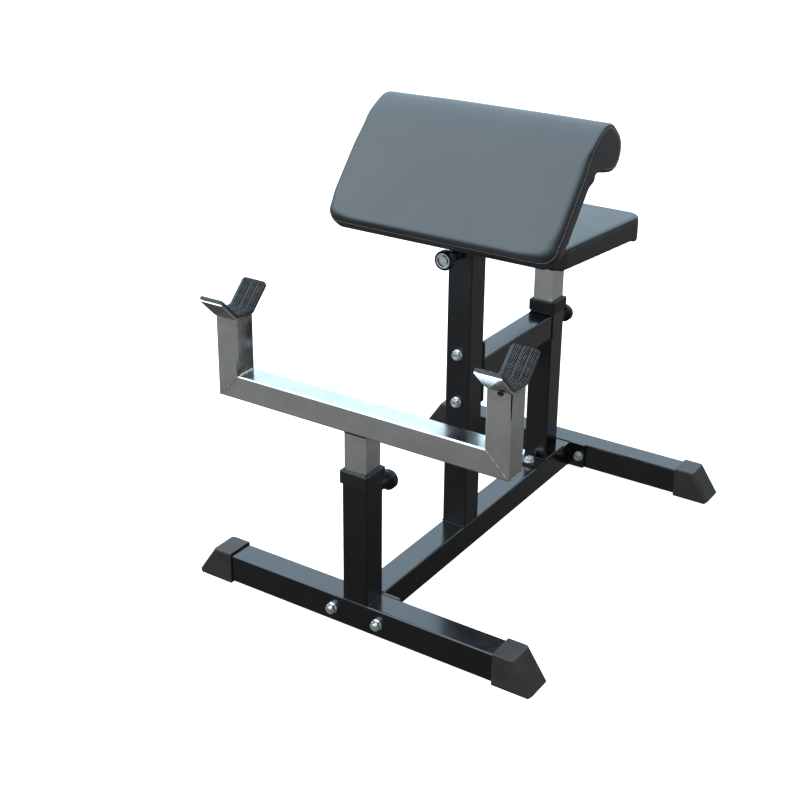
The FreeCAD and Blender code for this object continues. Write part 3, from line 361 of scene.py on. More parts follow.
def corner_dark_line(t, co):
    """A thin dark line painted down the near corner of the right upright, under the saddle, wider towards the top."""
    x, y, z = t.xyz(co)
    width = t.span(z, 0.484, 0.524, 0.00012, 0.00042)
    across = t.math("ABSOLUTE", t.math("SUBTRACT", t.math("SUBTRACT", x, y), 0.29012 + 0.02162 - FRONT_Y))
    line = t.math("LESS_THAN", across, width)
    return t.math("MULTIPLY", line, t.math("GREATER_THAN", z, 0.484))


def zinc_material(name, dark, light, rough_low=0.22, rough_high=0.38):
    m, t, s, co = material(name)
    cloud = t.noise(co, 160, 3)
    t.put(s["Base Color"], t.mix(cloud, rgb(dark, dark * 1.02, dark * 1.05), rgb(light, light, light * 0.97)))
    t.put(s["Roughness"], t.span(t.noise(co, 420, 3), 0.3, 0.7, rough_low, rough_high))
    s["Metallic"].default_value = 1.0
    t.put(s["Normal"], t.bump(t.noise(co, 1300, 2), 0.06, 0.0002))
    return m


def pin_material():
    m, t, s, co = material("bright_pin_steel")
    ring = t.noise(t.stretch(co, (300, 2400, 300)), 1.0, 3)
    t.put(s["Base Color"], t.mix(ring, rgb(0.52), rgb(0.64)))
    t.put(s["Roughness"], t.span(ring, 0.3, 0.7, 0.18, 0.30))
    s["Metallic"].default_value = 1.0
    t.put(s["Normal"], t.bump(ring, 0.05, 0.0002))
    return m


def moulded_material(name, dark, light, rough_low, rough_high, texture, depth, gloss=0.5, warm=(1.0, 0.93, 0.87), hue=(1.0, 1.0, 1.0)):
    """Moulded plastic or rubber with a fine spark-eroded texture."""
    m, t, s, co = material(name)
    cloud = t.noise(co, 30, 3)
    t.put(s["Base Color"], t.mix(t.span(cloud, 0.3, 0.7), rgb(*(dark * h for h in hue)), rgb(*(light * h for h in hue))))
    t.put(s["Roughness"], t.span(t.noise(co, 180, 3), 0.3, 0.7, rough_low, rough_high))
    s["IOR"].default_value = 1.5
    s["Specular IOR Level"].default_value = gloss
    s["Specular Tint"].default_value = rgb(*warm)
    grain = t.math("ADD", t.noise(co, texture, 3, 0.6), t.math("MULTIPLY", cloud, 0.3))
    t.put(s["Normal"], t.bump(grain, depth, 0.0005))
    return m


def vinyl_material():
    """Black upholstery vinyl: fine pebbled grain, faint cloudiness in the gloss."""
    m, t, s, co = material("black_vinyl")
    wander = t.vmath("ADD", co, t.vmath("MULTIPLY", t.add("TexNoise", Vector=co, Scale=300.0, Detail=2.0).outputs["Color"],
                                        (0.0010, 0.0010, 0.0010)))
    pebble = t.cells(wander, 620.0, "SMOOTH_F1", 0.9)
    crease = t.span(t.cells(wander, 620.0, "DISTANCE_TO_EDGE", 0.9), 0.0, 0.16)
    cloud = t.noise(co, 7, 3)
    # The creases between the pebbles are painted a little darker, a painted shade.
    t.put(s["Base Color"], t.mix(crease, rgb(0.0048, 0.0046, 0.0045), rgb(0.0072, 0.0070, 0.0068)))
    rough = t.span(cloud, 0.3, 0.7, 0.35, 0.40)
    t.put(s["Roughness"], t.math("MULTIPLY_ADD", crease, -0.03, rough))
    s["IOR"].default_value = 1.5
    grain = t.math("MULTIPLY_ADD", pebble, -0.6, t.math("MULTIPLY", crease, 0.8))
    relief = t.math("MULTIPLY_ADD", t.noise(co, 60, 3), 0.5, grain)
    t.put(s["Normal"], t.bump(relief, 0.16, 0.0004))
    return m


def plywood_material():
    m, t, s, co = material("plywood")
    grain = t.noise(t.stretch(co, (9, 160, 160)), 1.0, 5, 0.65, 0.6)
    ring = t.noise(t.stretch(co, (2, 26, 26)), 1.0, 3, 0.5, 1.2)
    wood = t.mix(t.span(ring, 0.35, 0.65), rgb(0.40, 0.26, 0.14), rgb(0.55, 0.39, 0.23))
    t.put(s["Base Color"], t.mix(t.span(grain, 0.45, 0.75, 0.0, 0.6), wood, rgb(0.25, 0.15, 0.08)))
    t.put(s["Roughness"], t.span(grain, 0.3, 0.7, 0.55, 0.75))
    t.put(s["Normal"], t.bump(grain, 0.2, 0.0004))
    return m


def thread_material(name, dark, light):
    m, t, s, co = material(name)
    twist = t.noise(t.stretch(co, (900, 900, 900)), 1.0, 2)
    t.put(s["Base Color"], t.mix(twist, rgb(dark), rgb(light, light, light * 0.97)))
    t.put(s["Roughness"], t.span(twist, 0.3, 0.7, 0.5, 0.7))
    t.put(s["Normal"], t.bump(twist, 0.3, 0.0003))
    return m


def weld_material():
    """A bare bead: bright ripples, straw and blue heat colour between them."""
    m, t, s, co = material("weld_bead")
    heat = t.noise(co, 120, 3)
    bead = t.mix(t.span(heat, 0.35, 0.7), rgb(0.46, 0.44, 0.40), rgb(0.27, 0.21, 0.14))
    t.put(s["Base Color"], bead)
    t.put(s["Roughness"], t.span(t.noise(co, 500, 3), 0.3, 0.7, 0.22, 0.42))
    s["Metallic"].default_value = 1.0
    t.put(s["Normal"], t.bump(t.noise(co, 900, 3), 0.15, 0.0003))
    return m


def disc_materials():
    m, t, s, co = material("brushed_disc")
    grit = t.noise(co, 900, 3, 0.6)
    t.put(s["Base Color"], t.mix(grit, rgb(0.27, 0.27, 0.27), rgb(0.55, 0.55, 0.545)))
    t.put(s["Roughness"], t.span(grit, 0.3, 0.7, 0.30, 0.48))
    s["Metallic"].default_value = 0.85
    t.put(s["Normal"], t.bump(grit, 0.2, 0.0003))
    dark = moulded_material("disc_recess", 0.006, 0.010, 0.30, 0.45, 900.0, 0.15)
    return m, dark


def build_materials():
    made = {
        "frame_paint": paint_material("black_powder_coat", 0.14, 0.20),
        "upright_paint": paint_material("black_powder_coat_flatter", 0.30, 0.38),
        "zinc_fastener": zinc_material("zinc_plate", 0.60, 0.76),
        "zinc_nut": zinc_material("zinc_nut_grey", 0.52, 0.68, 0.32, 0.46),
        "pin_steel": pin_material(),
        "pad_vinyl": vinyl_material(),
        "pad_plywood": plywood_material(),
        "foot_rubber": moulded_material("foot_rubber_grey", 0.0115, 0.0150, 0.36, 0.46, 700.0, 0.14, 0.30, (1.0, 0.87, 0.77), (1.0, 0.86, 0.74)),
        "collar_plastic": moulded_material("collar_black", 0.0046, 0.0062, 0.38, 0.50, 1100.0, 0.12, 0.20),
        "knob_plastic": moulded_material("knob_black", 0.0016, 0.0026, 0.28, 0.38, 300.0, 0.05, 0.18),
        "liner_rubber": moulded_material("liner_rubber_grey", 0.014, 0.020, 0.52, 0.66, 900.0, 0.12, 0.30),
        # The tread's valleys are painted darker as shade and its diamond tops lighter as a painted highlight.
        "liner_valley_shade": moulded_material("liner_rubber_valley_shade", 0.0020, 0.0035, 0.70, 0.85, 900.0, 0.12, 0.12),
        "liner_top_highlight": moulded_material("liner_rubber_top_highlight", 0.060, 0.080, 0.45, 0.60, 900.0, 0.12, 0.50),
        "frame_bead": moulded_material("powder_coat_weld", 0.0010, 0.0018, 0.32, 0.44, 700.0, 0.20, 0.36),
        "burnt_shaded": moulded_material("burnt_pit", 0.0015, 0.0040, 0.60, 0.80, 1200.0, 0.30, 0.08),
        "plate_x": plated_material("plated_cross_tube", "X", near_mitre, dim_top=True),
        "plate_z": plated_material("plated_upright", "Z", near_mitre, soot=inner_soot),
        "plate_dark_line": plated_material("plated_upright_dark_line", "Z", near_pit, corner_dark_line, pit_soot),
        "plate_stem": plated_material("plated_stem", "Z", near_stem_top, stem_gap),
        "plate_post": plated_material("plated_post", "Z"),
        "plate_saddle": plated_material("plated_saddle", "X"),
        "thread": thread_material("grey_thread", 0.13, 0.28),
        "thread_dark": thread_material("dark_thread", 0.06, 0.13),
        "weld": weld_material(),
    }
    made["disc"], made["disc_dark"] = disc_materials()
    return made


NODE_FINISH = {
    "frame_paint": ("front_cross_tube", "rear_cross_tube", "base_beam", "base_front_flange",
                    "base_rear_flange", "front_post", "seat_beam",
                    "seat_beam_flange", "seat_post", "seat_post_foot_plate",
                    "rack_pin_housing", "pad_pin_housing", "seat_pin_housing",
                    "pad_bracket", "seat_plate"),
    "upright_paint": ("main_upright",),
    "foot_rubber": ("front_left_foot", "front_right_foot", "rear_left_foot", "rear_right_foot"),
    "collar_plastic": ("rack_collar", "pad_collar", "seat_collar"),
    "zinc_fastener": ("frame_washers", "pad_washers", "pad_tee_nuts", "seat_washers", "seat_tee_nuts"),
    "zinc_nut": ("frame_bolts", "frame_nuts", "pad_bolts", "seat_bolts"),
    "plate_x": ("rack_cross_tube",),
    "plate_z": ("rack_upright_left",),
    "plate_dark_line": ("rack_upright_right",),
    "plate_stem": ("rack_stem",),
    "plate_post": ("pad_stem", "seat_stem"),
    "plate_saddle": ("rack_cradle_left", "rack_cradle_right"),
    "liner_rubber": ("rack_liner_left", "rack_liner_right"),
    "pad_vinyl": ("arm_pad", "seat_pad"),
    "pad_plywood": ("arm_pad_board", "seat_board"),
    "pin_steel": ("rack_pin_plunger", "pad_pin_plunger", "seat_pin_plunger",
                  "rack_pin_spring", "pad_pin_spring", "seat_pin_spring"),
    "knob_plastic": ("rack_pin_knob", "pad_pin_knob", "seat_pin_knob"),
    "disc": ("rack_pin_disc", "pad_pin_disc", "seat_pin_disc"),
}


def finish_nodes():
    for finish, names in NODE_FINISH.items():
        for name in names:
            slots = nodes[name].data.materials
            for i in range(len(slots)):
                slots[i] = MAT[finish]
            if not len(slots):
                slots.append(MAT[finish])


# ---------------------------------------------------------------- mesh helpers
def new_piece(name, verts, faces, mat, smooth=True):
    me = bpy.data.meshes.new(name)
    me.from_pydata([tuple(v) for v in verts], [], faces)
    me.validate()
    bm = bmesh.new()
    bm.from_mesh(me)
    bmesh.ops.recalc_face_normals(bm, faces=bm.faces)
    bm.to_mesh(me)
    bm.free()
    me.update()
    me.polygons.foreach_set("use_smooth", [smooth] * len(me.polygons))
    if mat is not None:
        me.materials.append(mat)
    ob = bpy.data.objects.new(name, me)
    scene.collection.objects.link(ob)
    return ob


class Soup:
    """Several closed tubes gathered into one mesh."""

    def __init__(self):
        self.verts, self.faces = [], []

    def tube(self, rings, closed=False):
        base, k = len(self.verts), len(rings[0])
        for ring in rings:
            self.verts.extend(ring)
        count = len(rings)
        for i in range(count if closed else count - 1):
            a, b = base + i * k, base + ((i + 1) % count) * k
            for j in range(k):
                q = (j + 1) % k
                self.faces.append((a + j, a + q, b + q, b + j))
        if not closed:
            self.faces.append(tuple(base + j for j in reversed(range(k))))
            last = base + (count - 1) * k
            self.faces.append(tuple(last + j for j in range(k)))

    def piece(self, name, mat, smooth=True):
        return new_piece(name, self.verts, self.faces, mat, smooth)


def resample(points, step, closed):
    pts = [Vector(p) for p in points]
    if closed:
        pts.append(pts[0].copy())
    lengths = [0.0]
    for a, b in zip(pts, pts[1:]):
        lengths.append(lengths[-1] + (b - a).length)
    total = lengths[-1]
    count = max(3, int(round(total / step)))
    out, k = [], 0
    for i in range(count if closed else count + 1):
        d = total * i / count
        while k < len(pts) - 2 and lengths[k + 1] < d:
            k += 1
        seg = lengths[k + 1] - lengths[k]
        f = 0.0 if seg < 1e-9 else (d - lengths[k]) / seg
        out.append(pts[k].lerp(pts[k + 1], f))
    return out, total


def tangents(path, closed):
    n = len(path)
    out = []
    for i in range(n):
        a = path[(i - 1) % n] if closed or i > 0 else path[i]
        b = path[(i + 1) % n] if closed or i < n - 1 else path[i]
        out.append((b - a).normalized())
    return out


def bead(soup, points, radius, up, closed=False, pitch=0.0042, flat=0.75, sides=10):
    """A welded bead: a run of overlapping ripples along a path."""
    path, total = resample(points, pitch / 5.0, closed)
    waves = max(2, round(total / pitch))
    tang = tangents(path, closed)
    rings = []
    sway = RNG.uniform(0, 6.28)
    for i, (p, d) in enumerate(zip(path, tang)):
        u = i / len(path)
        ripple = abs(math.sin(math.pi * waves * u)) ** 0.5
        swell = 1.0 + 0.10 * math.sin(2 * math.pi * 3 * u + sway) + RNG.uniform(-0.03, 0.03)
        r = radius * (0.80 + 0.20 * ripple) * swell
        if not closed:
            r *= min(1.0, 0.35 + 0.65 * min(i, len(path) - 1 - i) / 4.0)
        n = Vector(up)
        n = (n - d * n.dot(d)).normalized()
        b = d.cross(n)
        ring = []
        for j in range(sides):
            a = 2 * math.pi * j / sides
            ring.append(p + n * (r * flat * math.sin(a)) + b * (r * math.cos(a)))
        rings.append(ring)
    soup.tube(rings, closed)


def square_loop(centre, ax, ay, half, corner, per=5, tall=None):
    c, ax, ay = Vector(centre), Vector(ax), Vector(ay)
    out = []
    for k, (sx, sy) in enumerate(((1, 1), (-1, 1), (-1, -1), (1, -1))):
        for i in range(per + 1):
            a = math.pi / 2 * (k + i / per)
            px = sx * (half - corner) + corner * math.cos(a)
            py = sy * ((tall or half) - corner) + corner * math.sin(a)
            out.append(c + ax * px + ay * py)
    return out


def circle_loop(centre, ax, ay, radius, count=40):
    c, ax, ay = Vector(centre), Vector(ax), Vector(ay)
    return [c + ax * radius * math.cos(2 * math.pi * i / count)
            + ay * radius * math.sin(2 * math.pi * i / count) for i in range(count)]


def arrays(me):
    co = np.empty(len(me.vertices) * 3)
    me.vertices.foreach_get("co", co)
    no = np.empty(len(me.vertices) * 3)
    me.vertices.foreach_get("normal", no)
    return co.reshape(-1, 3), no.reshape(-1, 3)


def set_co(me, co):
    me.vertices.foreach_set("co", np.asarray(co, float).ravel())
    me.update()


def neighbour_mean(me):
    """A function that averages any array of points over each point's neighbours."""
    edges = np.empty(len(me.edges) * 2, int)
    me.edges.foreach_get("vertices", edges)
    a, b = edges.reshape(-1, 2).T
    size = len(me.vertices)
    count = np.bincount(edges, minlength=size).astype(float)[:, None]

    def mean(values):
        total = [np.bincount(a, values[b, k], size) + np.bincount(b, values[a, k], size) for k in range(3)]
        return np.stack(total, axis=1) / count

    return mean


def drawn_to(me, distance, rounds=12, relax=0.35):
    """Draws a mesh onto a shape given by its signed distance, evening out the points on the way."""
    mean = neighbour_mean(me)
    co, _ = arrays(me)
    h = 0.0002
    for k in range(rounds):
        co = co + relax * (mean(co) - co)
        for _ in range(2):
            slope = np.stack([(distance(co + step) - distance(co - step)) / (2 * h) for step in np.eye(3) * h], axis=1)
            slope /= np.maximum(np.linalg.norm(slope, axis=1, keepdims=True), 1e-6)
            co = co - slope * np.clip(distance(co), -0.004, 0.004)[:, None]
    set_co(me, co)


def applied(ob, kind, **settings):
    """Adds one modifier and bakes it into the mesh."""
    mod = ob.modifiers.new(kind.lower(), kind)
    for key, value in settings.items():
        setattr(mod, key, value)
    deps = bpy.context.evaluated_depsgraph_get()
    me = bpy.data.meshes.new_from_object(ob.evaluated_get(deps))
    ob.modifiers.clear()
    old = ob.data
    ob.data = me
    me.name = ob.name
    bpy.data.meshes.remove(old)
    return ob


def inflate(ob, held, cap, crown, pressure=4.0, frames=20):
    """Blows the cover up inside its seams with a short cloth simulation, drawn tight to a set crown."""
    me = ob.data
    rest, _ = arrays(me)
    group = ob.vertex_groups.new(name="held")
    group.add([int(i) for i in np.nonzero(held(rest))[0]], 1.0, "REPLACE")
    mod = ob.modifiers.new("cloth", "CLOTH")
    st = mod.settings
    st.quality = 4
    st.mass = 0.3
    st.tension_stiffness = st.compression_stiffness = 22.0
    st.shear_stiffness = 8.0
    st.bending_stiffness = 2.0
    st.use_pressure = True
    st.uniform_pressure_force = pressure
    st.effector_weights.gravity = 0.0
    st.vertex_group_mass = "held"
    mod.collision_settings.use_collision = False
    mod.collision_settings.use_self_collision = False
    mod.point_cache.frame_start, mod.point_cache.frame_end = 1, frames
    for f in range(1, frames + 1):
        scene.frame_set(f)
    deps = bpy.context.evaluated_depsgraph_get()
    puffed = ob.evaluated_get(deps).to_mesh()
    co, _ = arrays(puffed)
    ob.evaluated_get(deps).to_mesh_clear()
    move = co - rest
    far = np.linalg.norm(move, axis=1, keepdims=True)
    move *= np.minimum(1.0, cap / np.maximum(far, 1e-9))
    # The vinyl is stretched smooth over the foam, so only the broad swell stays.
    mean = neighbour_mean(me)
    for _ in range(40):
        move = move + 0.6 * (mean(move) - move)
    move *= crown / max(np.linalg.norm(move, axis=1).max(), 1e-6)
    ob.modifiers.clear()
    ob.vertex_groups.clear()
    scene.frame_set(1)
    set_co(me, rest + move)


# ---------------------------------------------------------------- upholstery
SLOPE = math.radians(50)
PAD_ORIGIN = Vector((0.0, -0.17686, 0.6601))


def pad_point(x, s, n):
    """Arm pad coordinates, in mm: across, up the slope, out of the face."""
    s, n = s * MM, n * MM
    return Vector((x * MM, PAD_ORIGIN.y + s * math.cos(SLOPE) - n * math.sin(SLOPE),
                   PAD_ORIGIN.z + s * math.sin(SLOPE) + n * math.cos(SLOPE)))


def pad_coords(co):
    y, z = co[:, 1] - PAD_ORIGIN.y, co[:, 2] - PAD_ORIGIN.z
    c, k = math.cos(SLOPE), math.sin(SLOPE)
    return np.stack((co[:, 0], y * c + z * k, -y * k + z * c), axis=1) * 1000.0


def pad_world(local):
    s, n = local[:, 1] * MM, local[:, 2] * MM
    c, k = math.cos(SLOPE), math.sin(SLOPE)
    return np.stack((local[:, 0] * MM, PAD_ORIGIN.y + s * c - n * k, PAD_ORIGIN.z + s * k + n * c), axis=1)


PAD_HALF, PAD_CORNER = 230.0, 29.0


def pad_droop(x, s):
    """How far the roll sinks towards its two ends, in mm: more on the left."""
    return (5.0 * ramp(-x, 60.0, PAD_HALF) + 1.6 * ramp(x, 100.0, PAD_HALF)) * ramp(s, 180.0, 260.0)


def pad_half_width(s, inset=0.0):
    r = PAD_CORNER - inset
    d = s - inset
    if d >= r:
        return PAD_HALF - inset
    d = max(d, 0.0)
    return PAD_HALF - inset - r + math.sqrt(max(0.0, r * r - (r - d) ** 2))


def arc(cs, cn, r, a0, a1, count):
    return [(cs + r * math.cos(math.radians(a0 + (a1 - a0) * i / count)),
             cn + r * math.sin(math.radians(a0 + (a1 - a0) * i / count))) for i in range(count + 1)]


def ramp(v, a, b):
    t = np.clip((v - a) / (b - a), 0.0, 1.0)
    return t * t * (3.0 - 2.0 * t)


def edged(a, b, r):
    """Where two shapes meet, their common part with its edge rounded to r."""
    a, b = a + r, b + r
    return np.minimum(np.maximum(a, b), 0.0) + np.hypot(np.maximum(a, 0.0), np.maximum(b, 0.0)) - r


def pad_plan(p):
    """Distance from the pad's outline, seen square to its face."""
    waist = 2.8 * ramp(p[:, 1], 148.0, 192.0) - 2.0 * ramp(p[:, 1], 192.0, 222.0)
    taper = waist * np.where(p[:, 0] < 0.0, 1.0, 0.3)
    qx, qs = np.abs(p[:, 0]) + taper - (PAD_HALF - PAD_CORNER), PAD_CORNER - p[:, 1]
    return np.hypot(np.maximum(qx, 0.0), np.maximum(qs, 0.0)) + np.minimum(np.maximum(qx, qs), 0.0) - PAD_CORNER


def even(points, step, soften, closed=False):
    """A line resampled to an even step, its corners eased by a running mean."""
    dense, _ = resample([Vector((a, b, 0.0)) for a, b in points], step, closed)
    line = np.array([(p.x, p.y) for p in dense])
    eased = line.copy()
    for i in range(soften, len(line) - soften):
        eased[i] = line[i - soften:i + soften + 1].mean(axis=0)
    return eased


def pad_roll_line():
    """The pad's side outline from its face, over the roll and back to the board (up the slope, out of the face)."""
    pts = [(150.0, 0.0), (195.0, 0.0)] + arc(195.0, -150.0, 150.0, 90, 64, 14)[1:]
    pts += arc(244.0, -50.4, 39.0, 64, 0, 14) + arc(244.0, -73.0, 39.0, 0, -90, 16)
    pts += [(234.0, -110.6), (225.0, -105.5), (216.5, -96.0), (208.5, -83.0), (201.5, -69.0), (195.0, -57.0),
            (188.0, -48.0), (179.0, -43.2), (168.0, -41.5), (150.0, -41.5)]
    return even(pts, 2.0, 3)


PAD_ROLL = pad_roll_line()


class SideShape:
    """Signed distance from a closed outline, kept on a 1 mm grid."""

    def __init__(self, outline, low, size):
        self.low = low
        gs, gn = np.meshgrid(low[0] + np.arange(size[0]), low[1] + np.arange(size[1]), indexing="ij")
        far = np.full(gs.shape, 1e9)
        inside = np.zeros(gs.shape, bool)
        for (a0, b0), (a1, b1) in zip(outline, np.roll(outline, -1, axis=0)):
            da, db = a1 - a0, b1 - b0
            f = np.clip(((gs - a0) * da + (gn - b0) * db) / max(da * da + db * db, 1e-9), 0.0, 1.0)
            far = np.minimum(far, np.hypot(gs - a0 - f * da, gn - b0 - f * db))
            if abs(db) > 1e-9:
                inside ^= ((b0 > gn) != (b1 > gn)) & (gs < a0 + (gn - b0) * da / db)
        self.grid = np.where(inside, -far, far)

    def __call__(self, s, n):
        q = self.grid
        u = np.clip(s - self.low[0], 0.0, q.shape[0] - 1.001)
        v = np.clip(n - self.low[1], 0.0, q.shape[1] - 1.001)
        i, j = u.astype(int), v.astype(int)
        f, g = u - i, v - j
        return (q[i, j] * (1 - f) + q[i + 1, j] * f) * (1 - g) + (q[i, j + 1] * (1 - f) + q[i + 1, j + 1] * f) * g


PAD_SIDE = SideShape(np.concatenate(([(-60.0, 0.0)], PAD_ROLL, [(-60.0, -41.5)])), (-70.0, -130.0), (372, 156))


def pad_distance(co):
    """Signed distance from the foam: a flat slab that ends in a fat roll, all its edges rounded."""
    p = pad_coords(co)
    s, n = p[:, 1], p[:, 2] + 0.5 + pad_droop(p[:, 0], p[:, 1])
    on_roll = ramp(s, 190.0, 215.0)
    # The foam gives most at the two lower corners.
    soft = 7.0 + 9.0 * ramp(np.abs(p[:, 0]), 165.0, 215.0) * ramp(s, 65.0, 22.0)
    r = (5.0 + soft * ramp(n, -36.0, -20.0)) * (1.0 - on_roll) + np.where(p[:, 0] < 0.0, 11.5, 5.0) * on_roll
    return edged(pad_plan(p), PAD_SIDE(s, n), r) * MM


def pad_blank():
    """The pad's outline before it is rounded (up the slope, out of the face)."""
    steps = (1.0, 4.0, 9.0, 16.0, 26.0, 40.0, 70.0, 110.0)
    return [(a, -0.5) for a in steps] + [tuple(q) for q in PAD_ROLL[::3]] + [(a, -41.5) for a in reversed(steps)]


def build_arm_pad():
    outline = pad_blank()
    bm = bmesh.new()
    left, right = [], []
    for s, n in outline:
        w = pad_half_width(max(s, 1.0), 1.0)
        left.append(bm.verts.new(pad_point(-w, s, n)))
        right.append(bm.verts.new(pad_point(w, s, n)))
    k = len(outline)
    for i in range(k):
        j = (i + 1) % k
        bm.faces.new((left[i], left[j], right[j], right[i]))
    for ring in (left, right):
        face = bm.faces.new(ring)
        bmesh.ops.triangulate(bm, faces=[face], ngon_method="EAR_CLIP")
    bmesh.ops.recalc_face_normals(bm, faces=bm.faces)
    me = bpy.data.meshes.new("arm_pad_cover")
    bm.to_mesh(me)
    bm.free()
    ob = bpy.data.objects.new("arm_pad_cover", me)
    scene.collection.objects.link(ob)
    applied(ob, "REMESH", mode="VOXEL", voxel_size=0.0045)
    drawn_to(ob.data, pad_distance)

    def held(co):
        p = pad_coords(co)
        inside = (pad_plan(p) < -9.0) & ((p[:, 2] > -12.0) | (p[:, 1] > 225.0))
        return ~inside

    inflate(ob, held, 0.007, 0.0026)
    applied(ob, "SUBSURF", levels=1, render_levels=1)
    # Spare vinyl gathers in a small fold where the slab runs into each end of the roll.
    me = ob.data
    co, no = arrays(me)
    p = pad_coords(co)
    for sign in (-1, 1):
        away = (p[:, 0] - sign * (PAD_HALF - 8.0)) ** 2 / 150.0 + (p[:, 1] - 173.0) ** 2 / 130.0 + (p[:, 2] + 44.0) ** 2 / 90.0
        co += no * (0.006 * np.exp(-away))[:, None]
    set_co(me, co)
    return ob


def pad_seam(offset=7.0):
    """The sewn line: round each roll end, down both sides 13 mm under the face, across the bottom."""
    run = np.gradient(PAD_ROLL, axis=0)
    run /= np.linalg.norm(run, axis=1, keepdims=True)
    inward = np.stack((run[:, 1], -run[:, 0]), axis=1)
    half = []
    for (s, n), d in zip(PAD_ROLL[::-2], inward[::-2]):
        if n < -40.0 and s < 206.0:
            continue
        inset = offset + (13.5 - offset) * float(ramp(np.array(s), 236.0, 160.0)) if n > -30.0 else offset
        half.append((s + d[0] * inset, n + d[1] * inset))
    half += [(half[-1][0] - 6.0 * i, -13.5) for i in range(1, 60) if half[-1][0] - 6.0 * i > PAD_CORNER + 1.0]
    right = [((PAD_HALF, s, n), (1, 0, 0)) for s, n in half]
    turn = []
    for i in range(0, 15):
        a = math.radians(90.0 * i / 14)
        turn.append(((PAD_HALF - PAD_CORNER + PAD_CORNER * math.cos(a),
                      PAD_CORNER - PAD_CORNER * math.sin(a), -13.5 - 2.5 * math.sin(2 * a)), (math.cos(a), -math.sin(a), 0)))
    side = right + turn
    bottom = [((x, 0.0, -13.5), (0, -1, 0)) for x in np.linspace(PAD_HALF - PAD_CORNER - 8.0, PAD_CORNER + 8.0 - PAD_HALF, 46)]
    other = [((-x, s, n), (-a, b, c)) for (x, s, n), (a, b, c) in reversed(side)]
    points = []
    for (x, s, n), (a, b, c) in side + bottom + other:
        n -= float(pad_droop(x, s))
        world = pad_point(x, s, n)
        out = (pad_point(x + a, s + b, n + c) - world).normalized()
        points.append((world, out))
    return points


def seat_outline(inset=0.0, per=8):
    """The seat's plan: a trapezoid with rounded corners, wider at the back."""
    front, back = SEAT_Y - 0.145 + inset, SEAT_Y + 0.147 - inset
    slope = (0.133 - 0.097) / 0.292
    wf, wb = 0.097 - inset * 1.0 + slope * inset * 0.5, 0.133 - inset
    corners = [Vector((wf, front)), Vector((wb, back)), Vector((-wb, back)), Vector((-wf, front))]
    radius = 0.027 - inset
    out = []
    for i, c in enumerate(corners):
        a = (corners[i - 1] - c).normalized()
        b = (corners[(i + 1) % 4] - c).normalized()
        half = math.acos(max(-1, min(1, a.dot(b)))) / 2
        reach = radius / math.tan(half)
        mid = c + (a + b).normalized() * (radius / math.sin(half))
        p0, p1 = c + a * reach, c + b * reach
        a0 = math.atan2(p0.y - mid.y, p0.x - mid.x)
        a1 = math.atan2(p1.y - mid.y, p1.x - mid.x)
        while a1 < a0:
            a1 += 2 * math.pi
        if a1 - a0 > math.pi:
            a0 += 2 * math.pi
        for k in range(per + 1):
            t = a0 + (a1 - a0) * k / per
            out.append(Vector((mid.x + radius * math.cos(t), mid.y + radius * math.sin(t))))
    return out


SEAT_LOW, SEAT_HIGH = 0.525, 0.572


def seat_plan(co):
    """Distance from the seat's outline, seen from above, in mm."""
    x, y = np.abs(co[:, 0]) * 1000.0, (co[:, 1] - SEAT_Y) * 1000.0
    r, lean = 27.0, 36.0 / 292.0
    long = math.hypot(1.0, lean)
    wide = lambda v: 97.0 + (v + 145.0) * lean - r * long
    y0, y1 = -145.0 + r, 147.0 - r
    a, b = np.array((wide(y0), y0)), np.array((wide(y1), y1))
    f = np.clip(((x - a[0]) * (b[0] - a[0]) + (y - a[1]) * (b[1] - a[1])) / ((b - a) @ (b - a)), 0.0, 1.0)
    flank = np.hypot(x - a[0] - f * (b[0] - a[0]), y - a[1] - f * (b[1] - a[1]))
    ends = np.minimum(np.hypot(np.maximum(x - a[0], 0.0), y - y0), np.hypot(np.maximum(x - b[0], 0.0), y - y1))
    outside = np.minimum(flank, ends)
    inside = np.maximum(np.maximum(y0 - y, y - y1), (x - wide(y)) / long)
    return np.where(inside < 0.0, inside, outside) - r


def seat_rise(y):
    """The foam is a little thicker towards the back."""
    return 0.0052 * (y - SEAT_Y + 0.145) / 0.292


def seat_distance(co):
    """Signed distance from the seat's foam, rounded on top and tighter underneath."""
    z = co[:, 2] * 1000.0
    low, high = SEAT_LOW * 1000.0 + 1.0, (SEAT_HIGH + seat_rise(co[:, 1])) * 1000.0 - 1.2
    mid, half = (low + high) / 2, (high - low) / 2
    r = 5.0 + 3.0 * ramp(z, mid - 8.0, mid + 6.0)
    return edged(seat_plan(co), np.abs(z - mid) - half, r) * MM


def build_seat_pad():
    rings = []
    for z in (SEAT_LOW + 0.002, SEAT_LOW + 0.016, SEAT_HIGH - 0.016, SEAT_HIGH - 0.002):
        rings.append([Vector((p.x, p.y, z)) for p in seat_outline(0.001)])
    soup = Soup()
    soup.tube(rings)
    ob = soup.piece("seat_pad_cover", None)
    applied(ob, "REMESH", mode="VOXEL", voxel_size=0.004)
    drawn_to(ob.data, seat_distance)

    def held(co):
        return ~((seat_plan(co) < -8.0) & (co[:, 2] > SEAT_HIGH - 0.012))

    inflate(ob, held, 0.006, 0.0024)
    applied(ob, "SUBSURF", levels=1, render_levels=1)
    # The cover is gathered under the two back corners.
    me = ob.data
    co, _ = arrays(me)
    for sign in (-1, 1):
        away = ((co[:, 0] - sign * 0.117) ** 2 + (co[:, 1] - SEAT_Y - 0.132) ** 2) / 0.014 ** 2 \
            + (co[:, 2] - 0.527) ** 2 / 0.009 ** 2
        co[:, 2] -= 0.0085 * np.exp(-away)
    set_co(me, co)
    return ob


